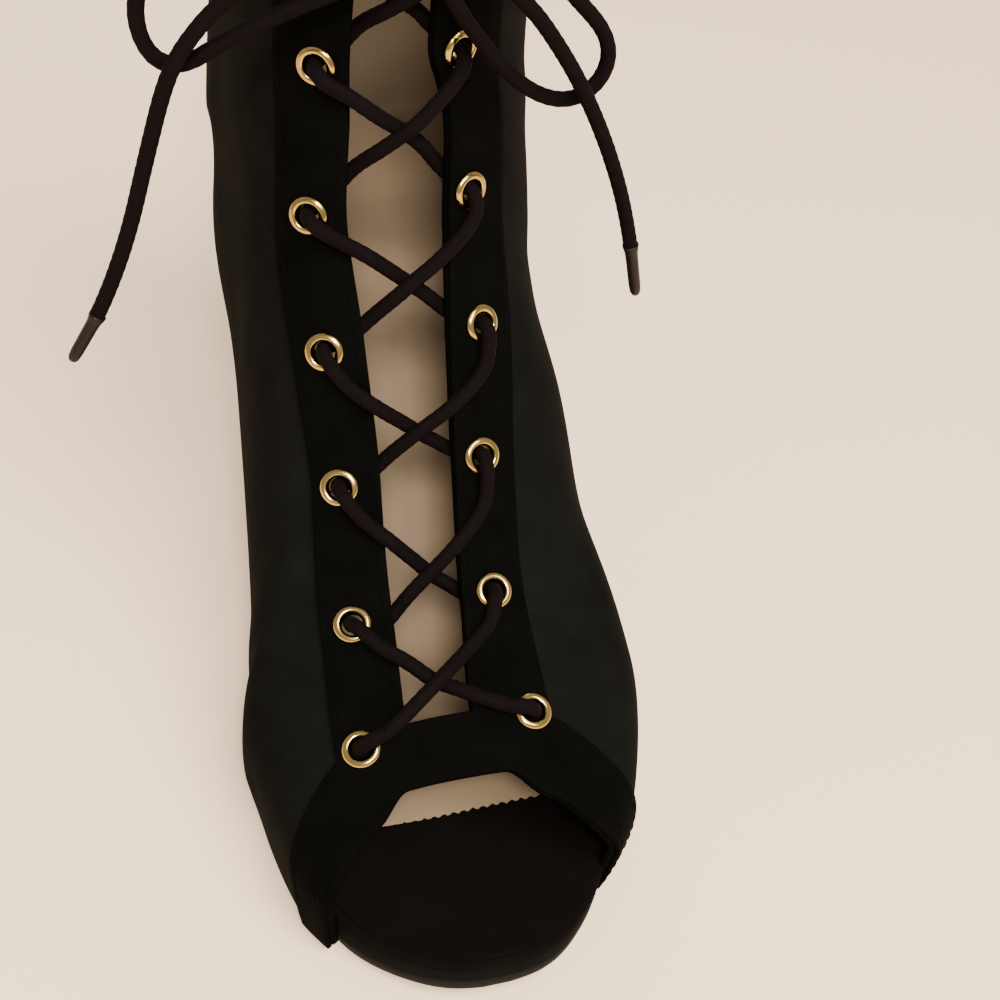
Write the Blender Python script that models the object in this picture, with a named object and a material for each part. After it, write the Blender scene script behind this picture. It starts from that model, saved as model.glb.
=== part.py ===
"""Lace-up peep-toe ankle boot for the left foot, built as its separate pieces.

Toe towards -Y, heel towards +Y, little toe side towards +X, sole on the plane Z = 0.
The tables below are in millimetres, and the meshes are made in metres.
"""

import bpy
import numpy as np
from mathutils import Vector
from mathutils.bvhtree import BVHTree

MM = 0.001

# Thicknesses and clearances
WALL = 2.0
GAP = 0.3
BAND_THICKNESS = 1.0
SOLE_CLEARANCE = 0.45
SEAT_GAP = 0.8
OUTSOLE_THICKNESS = 3.0
INSOLE_THICKNESS = 2.0

# Upper: one row per section of the last, turning from upright at the toe to level at the collar.
# bottom and top are the ends of the section on the sole and on the instep ridge, medial and
# lateral the greatest half widths, base the share of them left at the sole, widest the height
# share of the greatest width, the crowns the fullness of the top on either side of the ridge,
# swing the sideways shift.
SECTION_COLUMNS = (
    "bottom_y", "bottom_z", "top_y", "top_z", "medial", "lateral", "base", "widest",
    "medial_crown", "lateral_crown", "swing",
)
SECTIONS = {
    "toe":     (-41.0,   3.6, -42.0,  28.0, 30.2, 28.5, 0.95, 0.45, 2.2, 2.2, -1.5),
    "rim":     (-21.0,   1.8, -21.0,  39.0, 39.0, 40.7, 0.96, 0.42, 2.2, 2.2, -1.0),
    "ball":    (  7.0,   1.8,  15.3,  56.0, 43.4, 49.8, 0.95, 0.38, 2.1, 2.0,  0.0),
    "waist":   ( 41.0,   9.0,  35.0,  82.0, 37.8, 47.3, 0.90, 0.38, 2.1, 1.8,  1.0),
    "instep":  ( 77.0,  36.4,  48.0, 107.0, 35.4, 42.2, 0.84, 0.38, 2.7, 1.7,  2.0),
    "shank":   (110.0,  62.2,  61.2, 130.0, 34.0, 37.8, 0.82, 0.40, 2.9, 1.7,  3.0),
    "seat":    (139.0,  78.0,  63.0, 147.0, 33.8, 38.2, 0.80, 0.42, 3.0, 1.7,  3.5),
    "heel":    (156.0,  82.9,  64.8, 154.0, 33.4, 38.5, 0.62, 0.45, 3.0, 1.7,  3.5),
    "cup":     (165.0,  84.8,  65.6, 158.0, 33.2, 38.6, 0.36, 0.48, 3.0, 1.7,  3.5),
    "back":    (169.0,  85.6,  65.9, 162.0, 33.0, 38.7, 0.00, 0.50, 3.0, 1.7,  3.5),
    "counter": (173.0, 105.0,  65.0, 174.0, 32.8, 38.7, 0.00, 0.50, 3.0, 1.7,  3.5),
    "ankle":   (163.0, 150.0,  64.0, 190.0, 32.9, 38.3, 0.00, 0.50, 3.0, 1.7,  3.5),
    "collar":  (156.0, 197.0,  62.0, 208.0, 34.8, 38.8, 0.00, 0.50, 3.0, 1.7,  3.5),
}
BACK_SECTION = 9
# A base share below this begins to round the section's lower corner
OPEN_BASE = 0.8

# Edges of eyestays and throat, as distances round the section from the ridge (medial is minus)
STAY_COLUMNS = ("section", "stay_medial", "throat_medial", "throat_lateral", "stay_lateral")
STAYS = (
    ( 0.3, -26.0, -12.0, 4.0, 20.0),
    ( 0.9, -27.0, -12.5, 5.0, 21.0),
    ( 1.3, -27.5, -12.0, 3.2, 20.5),
    ( 1.9, -26.5, -10.5, 5.9, 20.3),
    ( 2.8, -26.4, -10.4, 7.0, 21.6),
    ( 3.8, -28.7, -12.4, 7.0, 23.7),
    ( 4.9, -31.8, -15.0, 8.2, 25.4),
    ( 8.5, -32.8, -14.7, 3.2, 24.6),
    (12.0, -34.0, -14.2, 2.4, 22.5),
)

# Section numbers of the peep rim and of the band's upper edge, by distance from the throat line
RIM_COLUMNS = ("distance", "rim", "band")
RIM = (
    ( 0.0, 0.925, 1.305),
    (10.0, 0.925, 1.305),
    (18.0, 0.710, 1.285),
    (22.0, 0.640, 1.260),
    (26.0, 0.555, 1.215),
    (31.0, 0.465, 1.130),
    (36.0, 0.395, 1.045),
    (41.0, 0.355, 0.965),
    (48.0, 0.335, 0.870),
    (56.0, 0.330, 0.790),
    (70.0, 0.330, 0.730),
)
THROAT_LINE = -3.5
THROAT_SECTION = 1.305

# Mesh rows above the throat's lower end, rows in the rim band, and cells across each strip
ROW_SECTIONS = (
    1.305, 1.62, 1.96, 2.32, 2.7, 3.1, 3.5, 4.0, 4.5, 5.0, 5.7, 6.4, 7.0, 7.6, 8.3, 9.0,
    9.7, 10.3, 11.0, 11.5, 12.0,
)
BAND_ROWS = 3
LEVEL_SECTION = 3.1
SIDE_SHARES = (0.0, 0.06, 0.16, 0.31, 0.48, 0.66, 0.83, 1.0)
SIDE_CELLS = len(SIDE_SHARES) - 1
STAY_CELLS = 4
THROAT_CELLS = 3

# Sole: heights along the foot of the tread and of the insole's top
PROFILE_COLUMNS = ("y", "tread", "footbed")
PROFILE = (
    (-53.6,  3.8, 13.6),
    (-40.0,  1.6, 11.6),
    (-27.0,  0.2, 10.9),
    (-21.0,  0.0, 10.8),
    ( 17.0,  0.0, 10.8),
    ( 28.0,  1.8, 13.2),
    ( 45.0,  9.5, 21.0),
    ( 70.0, 29.0, 41.0),
    ( 95.0, 49.8, 61.8),
    (121.0, 69.0, 79.8),
    (143.0, 79.5, 88.8),
    (169.0, 85.6, 94.8),
)
TOE_COLUMNS = ("y", "medial", "lateral")
TOE_OUTLINE = (
    (-53.6,  -4.4,  1.6),
    (-52.9,  -9.6,  7.6),
    (-51.0, -14.4, 12.4),
    (-47.8, -19.2, 16.8),
    (-43.9, -23.8, 20.6),
    (-39.7, -27.6, 24.4),
    (-35.8, -30.3, 27.2),
)

# Rings of each sole layer from below: inset from the outline, profile followed, rise above it
SOLE_LAYERS = {
    "outsole": (
        (1.2, "tread", 0.0),
        (0.3, "tread", 1.0),
        (0.3, "tread", OUTSOLE_THICKNESS),
    ),
    "platform": (
        (1.0, "tread", OUTSOLE_THICKNESS + GAP),
        (0.5, "tread", OUTSOLE_THICKNESS + 1.2),
        (0.5, "footbed", -INSOLE_THICKNESS - GAP),
    ),
    "insole": (
        (0.2, "footbed", -INSOLE_THICKNESS),
        (0.2, "footbed", -0.6),
        (0.9, "footbed", 0.0),
    ),
}
LAYER_MATERIALS = {"outsole": "rubber", "platform": "suede", "insole": "sock"}

# Heel and its top piece
HEEL_FRONT_Y = 122.0
HEEL_SEAT_INSET = 0.4
HEEL_COLUMNS = ("drop", "narrowing")
HEEL_LEVELS = (
    (1.00, 1.00),
    (0.80, 0.92),
    (0.55, 0.74),
    (0.30, 0.48),
    (0.12, 0.22),
    (0.00, 0.00),
)
HEEL_FOOT_HALF = 19.0
HEEL_FOOT_Y = (128.0, 165.0)
HEEL_FOOT_X = 3.5
HEEL_FOOT_ROUNDING = (0.55, 0.75)
HEEL_FOOT_BACK = 0.22
TOP_PIECE_THICKNESS = 5.5
TOP_PIECE_CHAMFER = 0.8
# Rounding of the sole and of the heel's seat at the back: share of the half width, and reach
SOLE_TIP = (0.45, 1.0)
HEEL_TIP = (0.40, 1.3)

# Eyelets: section number and distance round the section, on the medial and the lateral side
EYELET_COLUMNS = ("medial_section", "medial", "lateral_section", "lateral")
EYELET_ROWS = (
    ( 1.25, -22.0,  1.27, 16.2),
    ( 1.92, -19.3,  1.96, 13.0),
    ( 2.88, -19.6,  2.92, 13.2),
    ( 3.89, -21.1,  3.98, 14.8),
    ( 4.96, -22.8,  5.08, 13.4),
    ( 8.55, -21.0,  8.92,  9.1),
    (11.03, -21.2, 11.08,  8.9),
)
EYELET_HOLE = 2.4
EYELET_BARREL = 2.8
EYELET_OUTER = 4.3
EYELET_SIDES = 12
EYELET_TUCK = 1.0
SEATING_PASSES = 2
# Radius and height over the seat, from the tube out round the flange and into the hole
EYELET_FLANGE = (
    (EYELET_BARREL, 0.0),
    (EYELET_OUTER, 0.0),
    (4.05, 0.7),
    (3.20, 1.2),
    (EYELET_HOLE, 0.7),
)
HOLE_RADIUS = 3.15
HOLE_REACH = 8.0

# Lace: height of its middle over the upper's outside, by share of the way from a lower eyelet to
# the upper one on the other side. It starts under the eyestay, except in the lowest crossing.
LACE_RADIUS = 1.8
LACE_SIDES = 8
STRAND_RINGS = 8
CROSSING_COLUMNS = ("share", "over", "under")
CROSSING = (
    (0.00, -4.6, -4.6),
    (0.18, -4.6, -4.6),
    (0.27, -4.4, -3.6),
    (0.44, -1.0, -2.0),
    (0.58,  0.9,  0.8),
    (0.72,  3.8,  3.8),
    (1.00,  3.6,  3.6),
)
LOWEST_CROSSING = (
    (0.00,  3.6,  3.6),
    (0.40,  3.6,  3.4),
    (0.57,  3.6,  0.9),
    (0.74,  3.6,  3.6),
    (1.00,  3.6,  3.6),
)
# Droop below the straight way between two eyelets: its course, and its depth in each crossing
DROOP_COURSE = (
    (0.00, 0.00, 0.00),
    (0.12, 0.50, 0.50),
    (0.27, 0.76, 0.80),
    (0.42, 0.88, 1.00),
    (0.56, 0.97, 1.00),
    (0.70, 1.00, 0.88),
    (0.82, 0.98, 0.75),
    (0.92, 0.88, 0.50),
    (1.00, 0.45, 0.10),
)
LACE_DROOPS = {
    "over": (6.6, 12.5, 10.7, 7.7, 4.8, 5.0),
    "under": (5.8, 7.0, 6.4, 3.5, 1.8, 3.0),
}
STRAND_STEPS = 90
CLEAR_OF_FLANGE = 6.2
CLEAR_OF_BARREL = 4.2

# Bow: points of each route, from the knot outwards
CORD_SPACING = 9.0
KNOT_RADIUS = 4.2
AGLET_RADIUS = 1.7
BOW_ROUTES = {
    "bow_knot": ((-8.6, 56.0, 188.8), (-2.1, 55.4, 189.1), (4.4, 56.0, 188.8)),
    "bow_loop_medial": (
        (-9.2, 56.0, 191.0), (-23.6, 54.0, 194.8), (-40.6, 55.5, 192.8), (-51.6, 58.0, 184.8),
        (-54.2, 59.0, 175.8), (-52.2, 59.0, 167.6), (-48.0, 59.0, 164.0), (-43.2, 59.0, 165.2),
        (-36.6, 58.6, 169.8), (-22.6, 57.6, 176.4), (-8.0, 56.6, 182.2),
    ),
    "bow_loop_lateral": (
        (5.0, 56.0, 191.0), (14.4, 54.6, 190.8), (25.4, 57.0, 182.3), (34.4, 59.0, 172.8),
        (40.4, 59.0, 166.4), (42.6, 59.0, 160.2), (40.8, 59.0, 154.2), (35.4, 59.0, 150.6),
        (28.4, 59.0, 152.2), (20.4, 58.8, 158.4), (10.4, 58.0, 170.8), (3.4, 56.6, 182.2),
    ),
    "bow_end_medial": (
        (-9.6, 55.6, 186.6), (-21.6, 54.0, 185.8), (-36.0, 54.0, 181.4), (-44.4, 54.0, 173.2),
        (-49.2, 54.0, 164.8), (-53.6, 54.0, 149.0), (-57.6, 54.0, 133.0), (-61.4, 54.0, 121.2),
        (-65.1, 54.0, 112.1),
    ),
    "bow_end_lateral": (
        (5.7, 55.6, 186.6), (12.4, 54.2, 183.2), (22.0, 54.0, 175.2), (28.4, 54.0, 167.0),
        (34.6, 54.0, 157.5), (41.8, 54.0, 143.6), (47.6, 54.0, 129.4), (51.4, 54.0, 117.0),
    ),
    "aglet_medial": ((-65.4, 54.0, 111.4), (-71.4, 54.0, 100.4)),
    "aglet_lateral": ((51.6, 54.0, 116.2), (54.8, 54.0, 102.4)),
}

# Red, green and blue, then roughness and metallic
MATERIALS = {
    "suede":  (0.010, 0.009, 0.008, 0.90, 0.0),
    "band":   (0.006, 0.005, 0.004, 0.90, 0.0),
    "rubber": (0.012, 0.011, 0.010, 0.70, 0.0),
    "sock":   (0.420, 0.310, 0.200, 0.60, 0.0),
    "gold":   (0.800, 0.580, 0.240, 0.30, 1.0),
    "lace":   (0.012, 0.008, 0.007, 0.80, 0.0),
    "aglet":  (0.030, 0.020, 0.017, 0.40, 0.0),
}


def smooth(xs, ys, x):
    """Value at x of a smooth curve through a table that never overshoots its rows."""
    xs = np.asarray(xs, float)
    ys = np.asarray(ys, float)
    step = np.diff(xs)
    rise = np.diff(ys) / step
    slope = np.zeros(len(xs))
    for i in range(1, len(xs) - 1):
        if rise[i - 1] * rise[i] > 0:
            before = 2 * step[i] + step[i - 1]
            after = step[i] + 2 * step[i - 1]
            slope[i] = (before + after) / (before / rise[i - 1] + after / rise[i])
    slope[0] = rise[0]
    slope[-1] = rise[-1]
    i = int(np.clip(np.searchsorted(xs, x, "right") - 1, 0, len(xs) - 2))
    t = np.clip((x - xs[i]) / step[i], 0, 1)
    flat, turn = t * t * (3 - 2 * t), t * (1 - t)
    return ys[i] * (1 - flat) + ys[i + 1] * flat + step[i] * turn * (
        slope[i] * (1 - t) - slope[i + 1] * t
    )


def column(table, columns, name):
    return [row[columns.index(name)] for row in table]


def lookup(table, columns, name, x):
    return smooth([row[0] for row in table], column(table, columns, name), x)


def section(number):
    """Named values of the upper's section at a real section number."""
    rows = list(SECTIONS.values())
    return {
        name: smooth(range(len(rows)), [row[i] for row in rows], number)
        for i, name in enumerate(SECTION_COLUMNS)
    }


def section_curve(number, steps=36):
    """Points of one section from medial to lateral base, with distances from the ridge."""
    g = section(number)
    closed = float(np.clip(1 - g["base"] / OPEN_BASE, 0, 1))
    phi = np.linspace(0, np.pi / 2, steps)
    low_x = g["base"] + (1 - g["base"]) * np.sin(phi)
    low_h = g["widest"] * (closed * (1 - np.cos(phi)) + (1 - closed) * phi / (np.pi / 2))
    sides = []
    for side, way in (("medial", -1), ("lateral", 1)):
        power = 2 / g[side + "_crown"]
        high_x = np.clip(np.cos(phi), 0, 1) ** power
        high_h = g["widest"] + (1 - g["widest"]) * np.sin(phi) ** power
        x = np.concatenate([low_x, high_x[1:]])
        h = np.concatenate([low_h, high_h[1:]])
        y = g["bottom_y"] + (g["top_y"] - g["bottom_y"]) * h
        z = g["bottom_z"] + (g["top_z"] - g["bottom_z"]) * h
        sides.append(np.stack([g["swing"] + way * g[side] * x, y, z], 1))
    medial, lateral = sides
    points = np.concatenate([medial, lateral[::-1][1:]])
    length = np.concatenate([[0], np.cumsum(np.linalg.norm(np.diff(points, axis=0), axis=1))])
    return points, length - length[len(medial) - 1]


def surface_point(number, distance):
    """Point of the upper's outside at a section number and a distance round it."""
    points, length = section_curve(number)
    return np.array([np.interp(distance, length, points[:, k]) for k in range(3)])


def surface_normal(number, distance, section_step=0.04, step=0.5):
    above = surface_point(number + section_step, distance)
    along = above - surface_point(number - section_step, distance)
    across = surface_point(number, distance + step) - surface_point(number, distance - step)
    normal = np.cross(across, along)
    return normal / np.linalg.norm(normal)


def raised_point(number, distance, height):
    return surface_point(number, distance) + height * surface_normal(number, distance)


def strip_distances(number):
    """Distances round a section of every mesh column, from medial base to lateral base."""
    length = section_curve(number)[1]
    stops = [length[0]]
    stops += [lookup(STAYS, STAY_COLUMNS, name, number) for name in STAY_COLUMNS[1:]]
    stops += [length[-1]]
    stay = [k / STAY_CELLS for k in range(STAY_CELLS + 1)]
    throat = [k / THROAT_CELLS for k in range(THROAT_CELLS + 1)]
    falling = [1 - share for share in SIDE_SHARES[::-1]]
    out = [stops[0]]
    for start, end, shares in zip(stops, stops[1:], (SIDE_SHARES, stay, throat, stay, falling)):
        out += [start + (end - start) * share for share in shares[1:]]
    return out


def upper_grid():
    """Outside points of the upper: rows from the peep rim to the collar, columns side to side."""
    at_throat = strip_distances(THROAT_SECTION)
    reach = [abs(d - THROAT_LINE) for d in at_throat]
    rim = [lookup(RIM, RIM_COLUMNS, "rim", d) for d in reach]
    band = [lookup(RIM, RIM_COLUMNS, "band", d) for d in reach]
    numbers = []
    for k in range(BAND_ROWS):
        share = k / BAND_ROWS
        numbers.append([a + (b - a) * share for a, b in zip(rim, band)])
    for number in ROW_SECTIONS:
        fade = np.clip((LEVEL_SECTION - number) / (LEVEL_SECTION - THROAT_SECTION), 0, 1)
        numbers.append([number + (b - THROAT_SECTION) * fade for b in band])
    grid = np.zeros((len(numbers), len(at_throat), 3))
    for i, row in enumerate(numbers):
        for j, number in enumerate(row):
            grid[i, j] = surface_point(number, strip_distances(number)[j])
    return grid, np.array(numbers)


class UpperGrid:
    """The upper's mesh grid, its outward directions and the cells of each piece cut from it."""

    def __init__(self):
        self.points, self.numbers = upper_grid()
        self.rows, self.columns = self.points.shape[:2]
        self.back_row = int(np.argmin(abs(self.numbers[:, 0] - BACK_SECTION)))
        self.stay = (SIDE_CELLS, self.columns - 1 - SIDE_CELLS)
        self.throat = (SIDE_CELLS + STAY_CELLS, self.columns - 1 - SIDE_CELLS - STAY_CELLS)
        every = [(i, j) for i in range(self.rows - 1) for j in range(self.columns - 1)]
        self.normals = self.outward(every)

    def key(self, i, j):
        """Grid place of a vertex, with the two sides joined down the back."""
        return (i, 0) if j == self.columns - 1 and i >= self.back_row else (i, j)

    def triangles(self, cells):
        for i, j in cells:
            a, b = self.key(i, j), self.key(i, j + 1)
            c, d = self.key(i + 1, j + 1), self.key(i + 1, j)
            if 2 * j < self.columns - 1:
                yield from ((a, b, c), (a, c, d))
            else:
                yield from ((a, b, d), (b, c, d))

    def outward(self, cells):
        total = np.zeros_like(self.points)
        for a, b, c in self.triangles(cells):
            normal = np.cross(self.points[b] - self.points[a], self.points[c] - self.points[a])
            for corner in (a, b, c):
                total[corner] += normal
        for i in range(self.back_row, self.rows):
            total[i, -1] = total[i, 0]
        return total / np.linalg.norm(total, axis=2, keepdims=True)

    def in_throat(self, i, j):
        return i >= BAND_ROWS and self.throat[0] <= j < self.throat[1]

    def upper_cells(self):
        cells = [(i, j) for i in range(self.rows - 1) for j in range(self.columns - 1)]
        return [cell for cell in cells if not self.in_throat(*cell)]

    def band_cells(self):
        def on_band(i, j):
            return i < BAND_ROWS or self.stay[0] <= j < self.stay[1]

        return [cell for cell in self.upper_cells() if on_band(*cell)]

    def shell(self, cells, outside, inside):
        """Vertices and faces of a closed sheet between two offsets of the grid."""
        places = {}
        faces = []
        edges = set()
        sheet = list(self.triangles(cells))
        for triangle in sheet:
            for corner in triangle:
                places.setdefault(corner, len(places))
        count = len(places)
        for triangle in sheet:
            a, b, c = (places[corner] for corner in triangle)
            faces += [(a, b, c), (a + count, c + count, b + count)]
            edges |= {(a, b), (b, c), (c, a)}
        for a, b in edges:
            if (b, a) not in edges:
                faces += [(b, a, a + count), (b, a + count, b + count)]
        keys = list(places)
        out = [self.points[k] + outside * self.normals[k] for k in keys]
        out += [self.points[k] + inside * self.normals[k] for k in keys]
        return out, faces

    def bottom_outline(self, offset):
        """Medial and lateral edge points along the sole, from the peep's corner to the back."""
        last = self.back_row
        sides = []
        for j in (0, self.columns - 1):
            sides.append([self.points[i, j] + offset * self.normals[i, j] for i in range(last)])
        return sides


def make_material(name):
    material = bpy.data.materials.new(name)
    material.use_nodes = True
    shader = material.node_tree.nodes["Principled BSDF"]
    *colour, roughness, metallic = MATERIALS[name]
    shader.inputs["Base Color"].default_value = (*colour, 1.0)
    shader.inputs["Roughness"].default_value = roughness
    shader.inputs["Metallic"].default_value = metallic
    return material


def add_mesh(name, points, faces, material):
    """One closed mesh object from points in millimetres."""
    mesh = bpy.data.meshes.new(name)
    mesh.from_pydata([tuple(float(v) * MM for v in p) for p in points], [], faces)
    mesh.update()
    obj = bpy.data.objects.new(name, mesh)
    bpy.context.scene.collection.objects.link(obj)
    obj.data.materials.append(material)
    return obj


def add_boolean(obj, cutter, operation):
    modifier = obj.modifiers.new(cutter.name, "BOOLEAN")
    modifier.object = cutter
    modifier.operation = operation
    modifier.solver = "EXACT"
    cutter.hide_render = True
    cutter.display_type = "WIRE"


def ring_loft(rings):
    """Closed solid through rings of equal count, each going down one side and back up the other."""
    size = len(rings[0])
    points = [p for ring in rings for p in ring]
    faces = []
    for k in range(len(rings) - 1):
        for i in range(size):
            a, b = k * size + i, k * size + (i + 1) % size
            faces += [(a, b, b + size), (a, b + size, a + size)]
    top = (len(rings) - 1) * size
    for i in range(size // 2 - 1):
        a, b, c, d = i, i + 1, size - 2 - i, size - 1 - i
        faces += [(a, c, b), (a, d, c)]
        faces += [(top + a, top + b, top + c), (top + a, top + c, top + d)]
    return points, faces


def inset(outline, distance):
    """Plan outline moved inwards; the points run anticlockwise seen from above."""
    flat = np.array(outline, float)
    ahead = np.roll(flat, -1, 0) - flat
    ahead /= np.linalg.norm(ahead, axis=1, keepdims=True)
    behind = np.roll(ahead, 1, 0)
    inward = np.stack([-ahead[:, 1] - behind[:, 1], ahead[:, 0] + behind[:, 0]], 1)
    inward /= np.linalg.norm(inward, axis=1, keepdims=True)
    spread = np.clip(np.sum(inward * np.stack([-ahead[:, 1], ahead[:, 0]], 1), 1), 0.5, 1)
    return flat + inward * (distance / spread)[:, None]


def profile(name, y):
    return lookup(PROFILE, PROFILE_COLUMNS, name, y)


def rounded_back(medial, lateral, share, reach):
    """The two side outlines, each with one more point that rounds off the back between them."""
    middle = (medial[-1] + lateral[-1]) / 2
    tips = [middle + share * (side[-1] - middle) + [0, reach] for side in (medial, lateral)]
    return [np.concatenate([side, [tip]]) for side, tip in zip((medial, lateral), tips)]


def sole_outline(grid):
    """Plan outline inside the upper and round the open toe, medial side first."""
    medial, lateral = (np.array(side)[:, :2] for side in grid.bottom_outline(-WALL))
    toe_y, toe_left, toe_right = (column(TOE_OUTLINE, TOE_COLUMNS, name) for name in TOE_COLUMNS)
    toe_medial = np.stack([toe_left, toe_y], 1)
    toe_lateral = np.stack([toe_right, toe_y], 1)
    inside_medial = medial + [SOLE_CLEARANCE, 0]
    inside_lateral = lateral - [SOLE_CLEARANCE, 0]
    sides = rounded_back(
        np.concatenate([toe_medial, inside_medial]),
        np.concatenate([toe_lateral, inside_lateral]),
        *SOLE_TIP,
    )
    return np.concatenate([sides[0][::-1], sides[1]])


def build_sole(grid, materials):
    outline = sole_outline(grid)
    for name, rings in SOLE_LAYERS.items():
        loft = []
        for move, follows, rise in rings:
            loft.append([(x, y, profile(follows, y) + rise) for x, y in inset(outline, move)])
        add_mesh(name, *ring_loft(loft), materials[LAYER_MATERIALS[name]])


def heel_outline(grid):
    """Plan outline of the heel's seat under the upper, medial side first, open edge at the breast."""
    sides = []
    for side in grid.bottom_outline(-HEEL_SEAT_INSET):
        flat = np.array(side)[:, :2]
        front = [np.interp(HEEL_FRONT_Y, flat[:, 1], flat[:, 0]), HEEL_FRONT_Y]
        sides.append(np.concatenate([[front], flat[flat[:, 1] > HEEL_FRONT_Y + WALL]]))
    sides = rounded_back(*sides, *HEEL_TIP)
    return np.concatenate([sides[0][::-1], sides[1]])


def heel_foot(top):
    """Plan outline of the heel's lower end, with a point under each point of the seat."""
    front, back = HEEL_FOOT_Y
    count = len(top) // 2
    across, along = HEEL_FOOT_ROUNDING
    side = []
    for k in range(count):
        angle = np.pi / 2 * k / (count - 1)
        side.append((np.cos(angle) ** across, np.sin(angle) ** along))
    side[-1] = (HEEL_FOOT_BACK, 1.0)
    one = [(HEEL_FOOT_X - HEEL_FOOT_HALF * a, front + (back - front) * b) for a, b in side]
    other = [(HEEL_FOOT_X + HEEL_FOOT_HALF * a, front + (back - front) * b) for a, b in side]
    return np.array(one[::-1] + other)


def build_heel(grid, materials):
    seat = heel_outline(grid)
    foot = heel_foot(seat)
    low = TOP_PIECE_THICKNESS + GAP
    rings = []
    drops, narrowings = (column(HEEL_LEVELS, HEEL_COLUMNS, name) for name in HEEL_COLUMNS)
    for drop, share in zip(drops, narrowings):
        ring = []
        for (seat_x, seat_y), (foot_x, foot_y) in zip(seat, foot):
            high = profile("tread", seat_y) - SEAT_GAP
            ring.append((
                seat_x + (foot_x - seat_x) * share,
                seat_y + (foot_y - seat_y) * share,
                high + (low - high) * drop,
            ))
        rings.append(ring)
    add_mesh("heel", *ring_loft(rings), materials["suede"])
    edge = TOP_PIECE_CHAMFER
    levels = ((edge, 0.0), (0.0, edge), (0.0, TOP_PIECE_THICKNESS))
    lift = [[(x, y, z) for x, y in inset(foot, move)] for move, z in levels]
    add_mesh("heel_top_piece", *ring_loft(lift), materials["rubber"])


def turned(profile_points, centre, axis, sides):
    """Closed ring turned about an axis from (radius, height) points."""
    across = np.cross(axis, [1.0, 0.0, 0.0])
    across /= np.linalg.norm(across)
    other = np.cross(axis, across)
    points = []
    faces = []
    count = len(profile_points)
    for k in range(sides):
        angle = 2 * np.pi * k / sides
        out = np.cos(angle) * across + np.sin(angle) * other
        points += [centre + radius * out + height * axis for radius, height in profile_points]
    for k in range(sides):
        nxt = (k + 1) % sides
        for i in range(count):
            j = (i + 1) % count
            a, b, c, d = k * count + i, nxt * count + i, nxt * count + j, k * count + j
            faces += [(a, b, c), (a, c, d)]
    return points, faces


def pin(centre, axis, radius, low, high, sides):
    """Closed cylinder along an axis."""
    across = np.cross(axis, [1.0, 0.0, 0.0])
    across /= np.linalg.norm(across)
    other = np.cross(axis, across)
    points = []
    for height in (low, high):
        for k in range(sides):
            angle = 2 * np.pi * k / sides
            out = np.cos(angle) * across + np.sin(angle) * other
            points.append(centre + height * axis + radius * out)
    faces = [tuple(range(sides))[::-1], tuple(range(sides, 2 * sides))]
    for k in range(sides):
        nxt = (k + 1) % sides
        faces.append((k, nxt, nxt + sides, k + sides))
    return points, faces


def seat_on(tree, centre, axis):
    """Middle, outward direction and highest point of a sheet under an eyelet's flange."""
    for _ in range(SEATING_PASSES):
        across = np.cross(axis, [1.0, 0.0, 0.0])
        across /= np.linalg.norm(across)
        other = np.cross(axis, across)
        hits = []
        for k in range(EYELET_SIDES):
            angle = 2 * np.pi * k / EYELET_SIDES
            out = np.cos(angle) * across + np.sin(angle) * other
            start = centre + HOLE_REACH * axis + EYELET_OUTER * out
            hit = tree.ray_cast(Vector(start), Vector(-axis), 2 * HOLE_REACH)[0]
            if hit is not None:
                hits.append(np.array(hit))
        middle = np.mean(hits, axis=0)
        normal = np.linalg.svd(np.array(hits) - middle)[2][2]
        axis = normal * np.sign(normal @ axis)
        centre = centre + ((middle - centre) @ axis) * axis
    return centre, axis, max((hit - centre) @ axis for hit in hits)


def eyelet_place(row, side):
    """Section number and distance round the section of one eyelet of a row."""
    return tuple(row[EYELET_COLUMNS.index(name)] for name in (side + "_section", side))


def eyelet_places(tree):
    """(name, middle of the seat, outward direction, height of the flange) of every eyelet."""
    for row, values in enumerate(EYELET_ROWS, 1):
        for side in ("medial", "lateral"):
            place = eyelet_place(values, side)
            seat = seat_on(tree, surface_point(*place), surface_normal(*place))
            yield (f"eyelet_{side}_{row}", *seat)


def build_eyelets(grid, materials, pieces):
    tree = BVHTree.FromPolygons(*grid.shell(grid.band_cells(), GAP + BAND_THICKNESS, GAP))
    through = GAP + BAND_THICKNESS + WALL + EYELET_TUCK
    cut_points = []
    cut_faces = []
    for name, centre, axis, high in eyelet_places(tree):
        seat = high + GAP
        ring = [(EYELET_HOLE, -through), (EYELET_BARREL, -through)]
        ring += [(radius, seat + height) for radius, height in EYELET_FLANGE]
        add_mesh(name, *turned(ring, centre, axis, EYELET_SIDES), materials["gold"])
        points, faces = pin(centre, axis, HOLE_RADIUS, -HOLE_REACH, HOLE_REACH, EYELET_SIDES)
        cut_faces += [tuple(v + len(cut_points) for v in face) for face in faces]
        cut_points += points
    cutter = add_mesh("eyelet_holes", cut_points, cut_faces, materials["gold"])
    for piece in pieces:
        add_boolean(piece, cutter, "DIFFERENCE")


def build_upper(grid, materials):
    upper = add_mesh("upper", *grid.shell(grid.upper_cells(), 0.0, -WALL), materials["suede"])
    band = add_mesh(
        "front_band", *grid.shell(grid.band_cells(), GAP + BAND_THICKNESS, GAP), materials["band"])
    return upper, band


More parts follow.
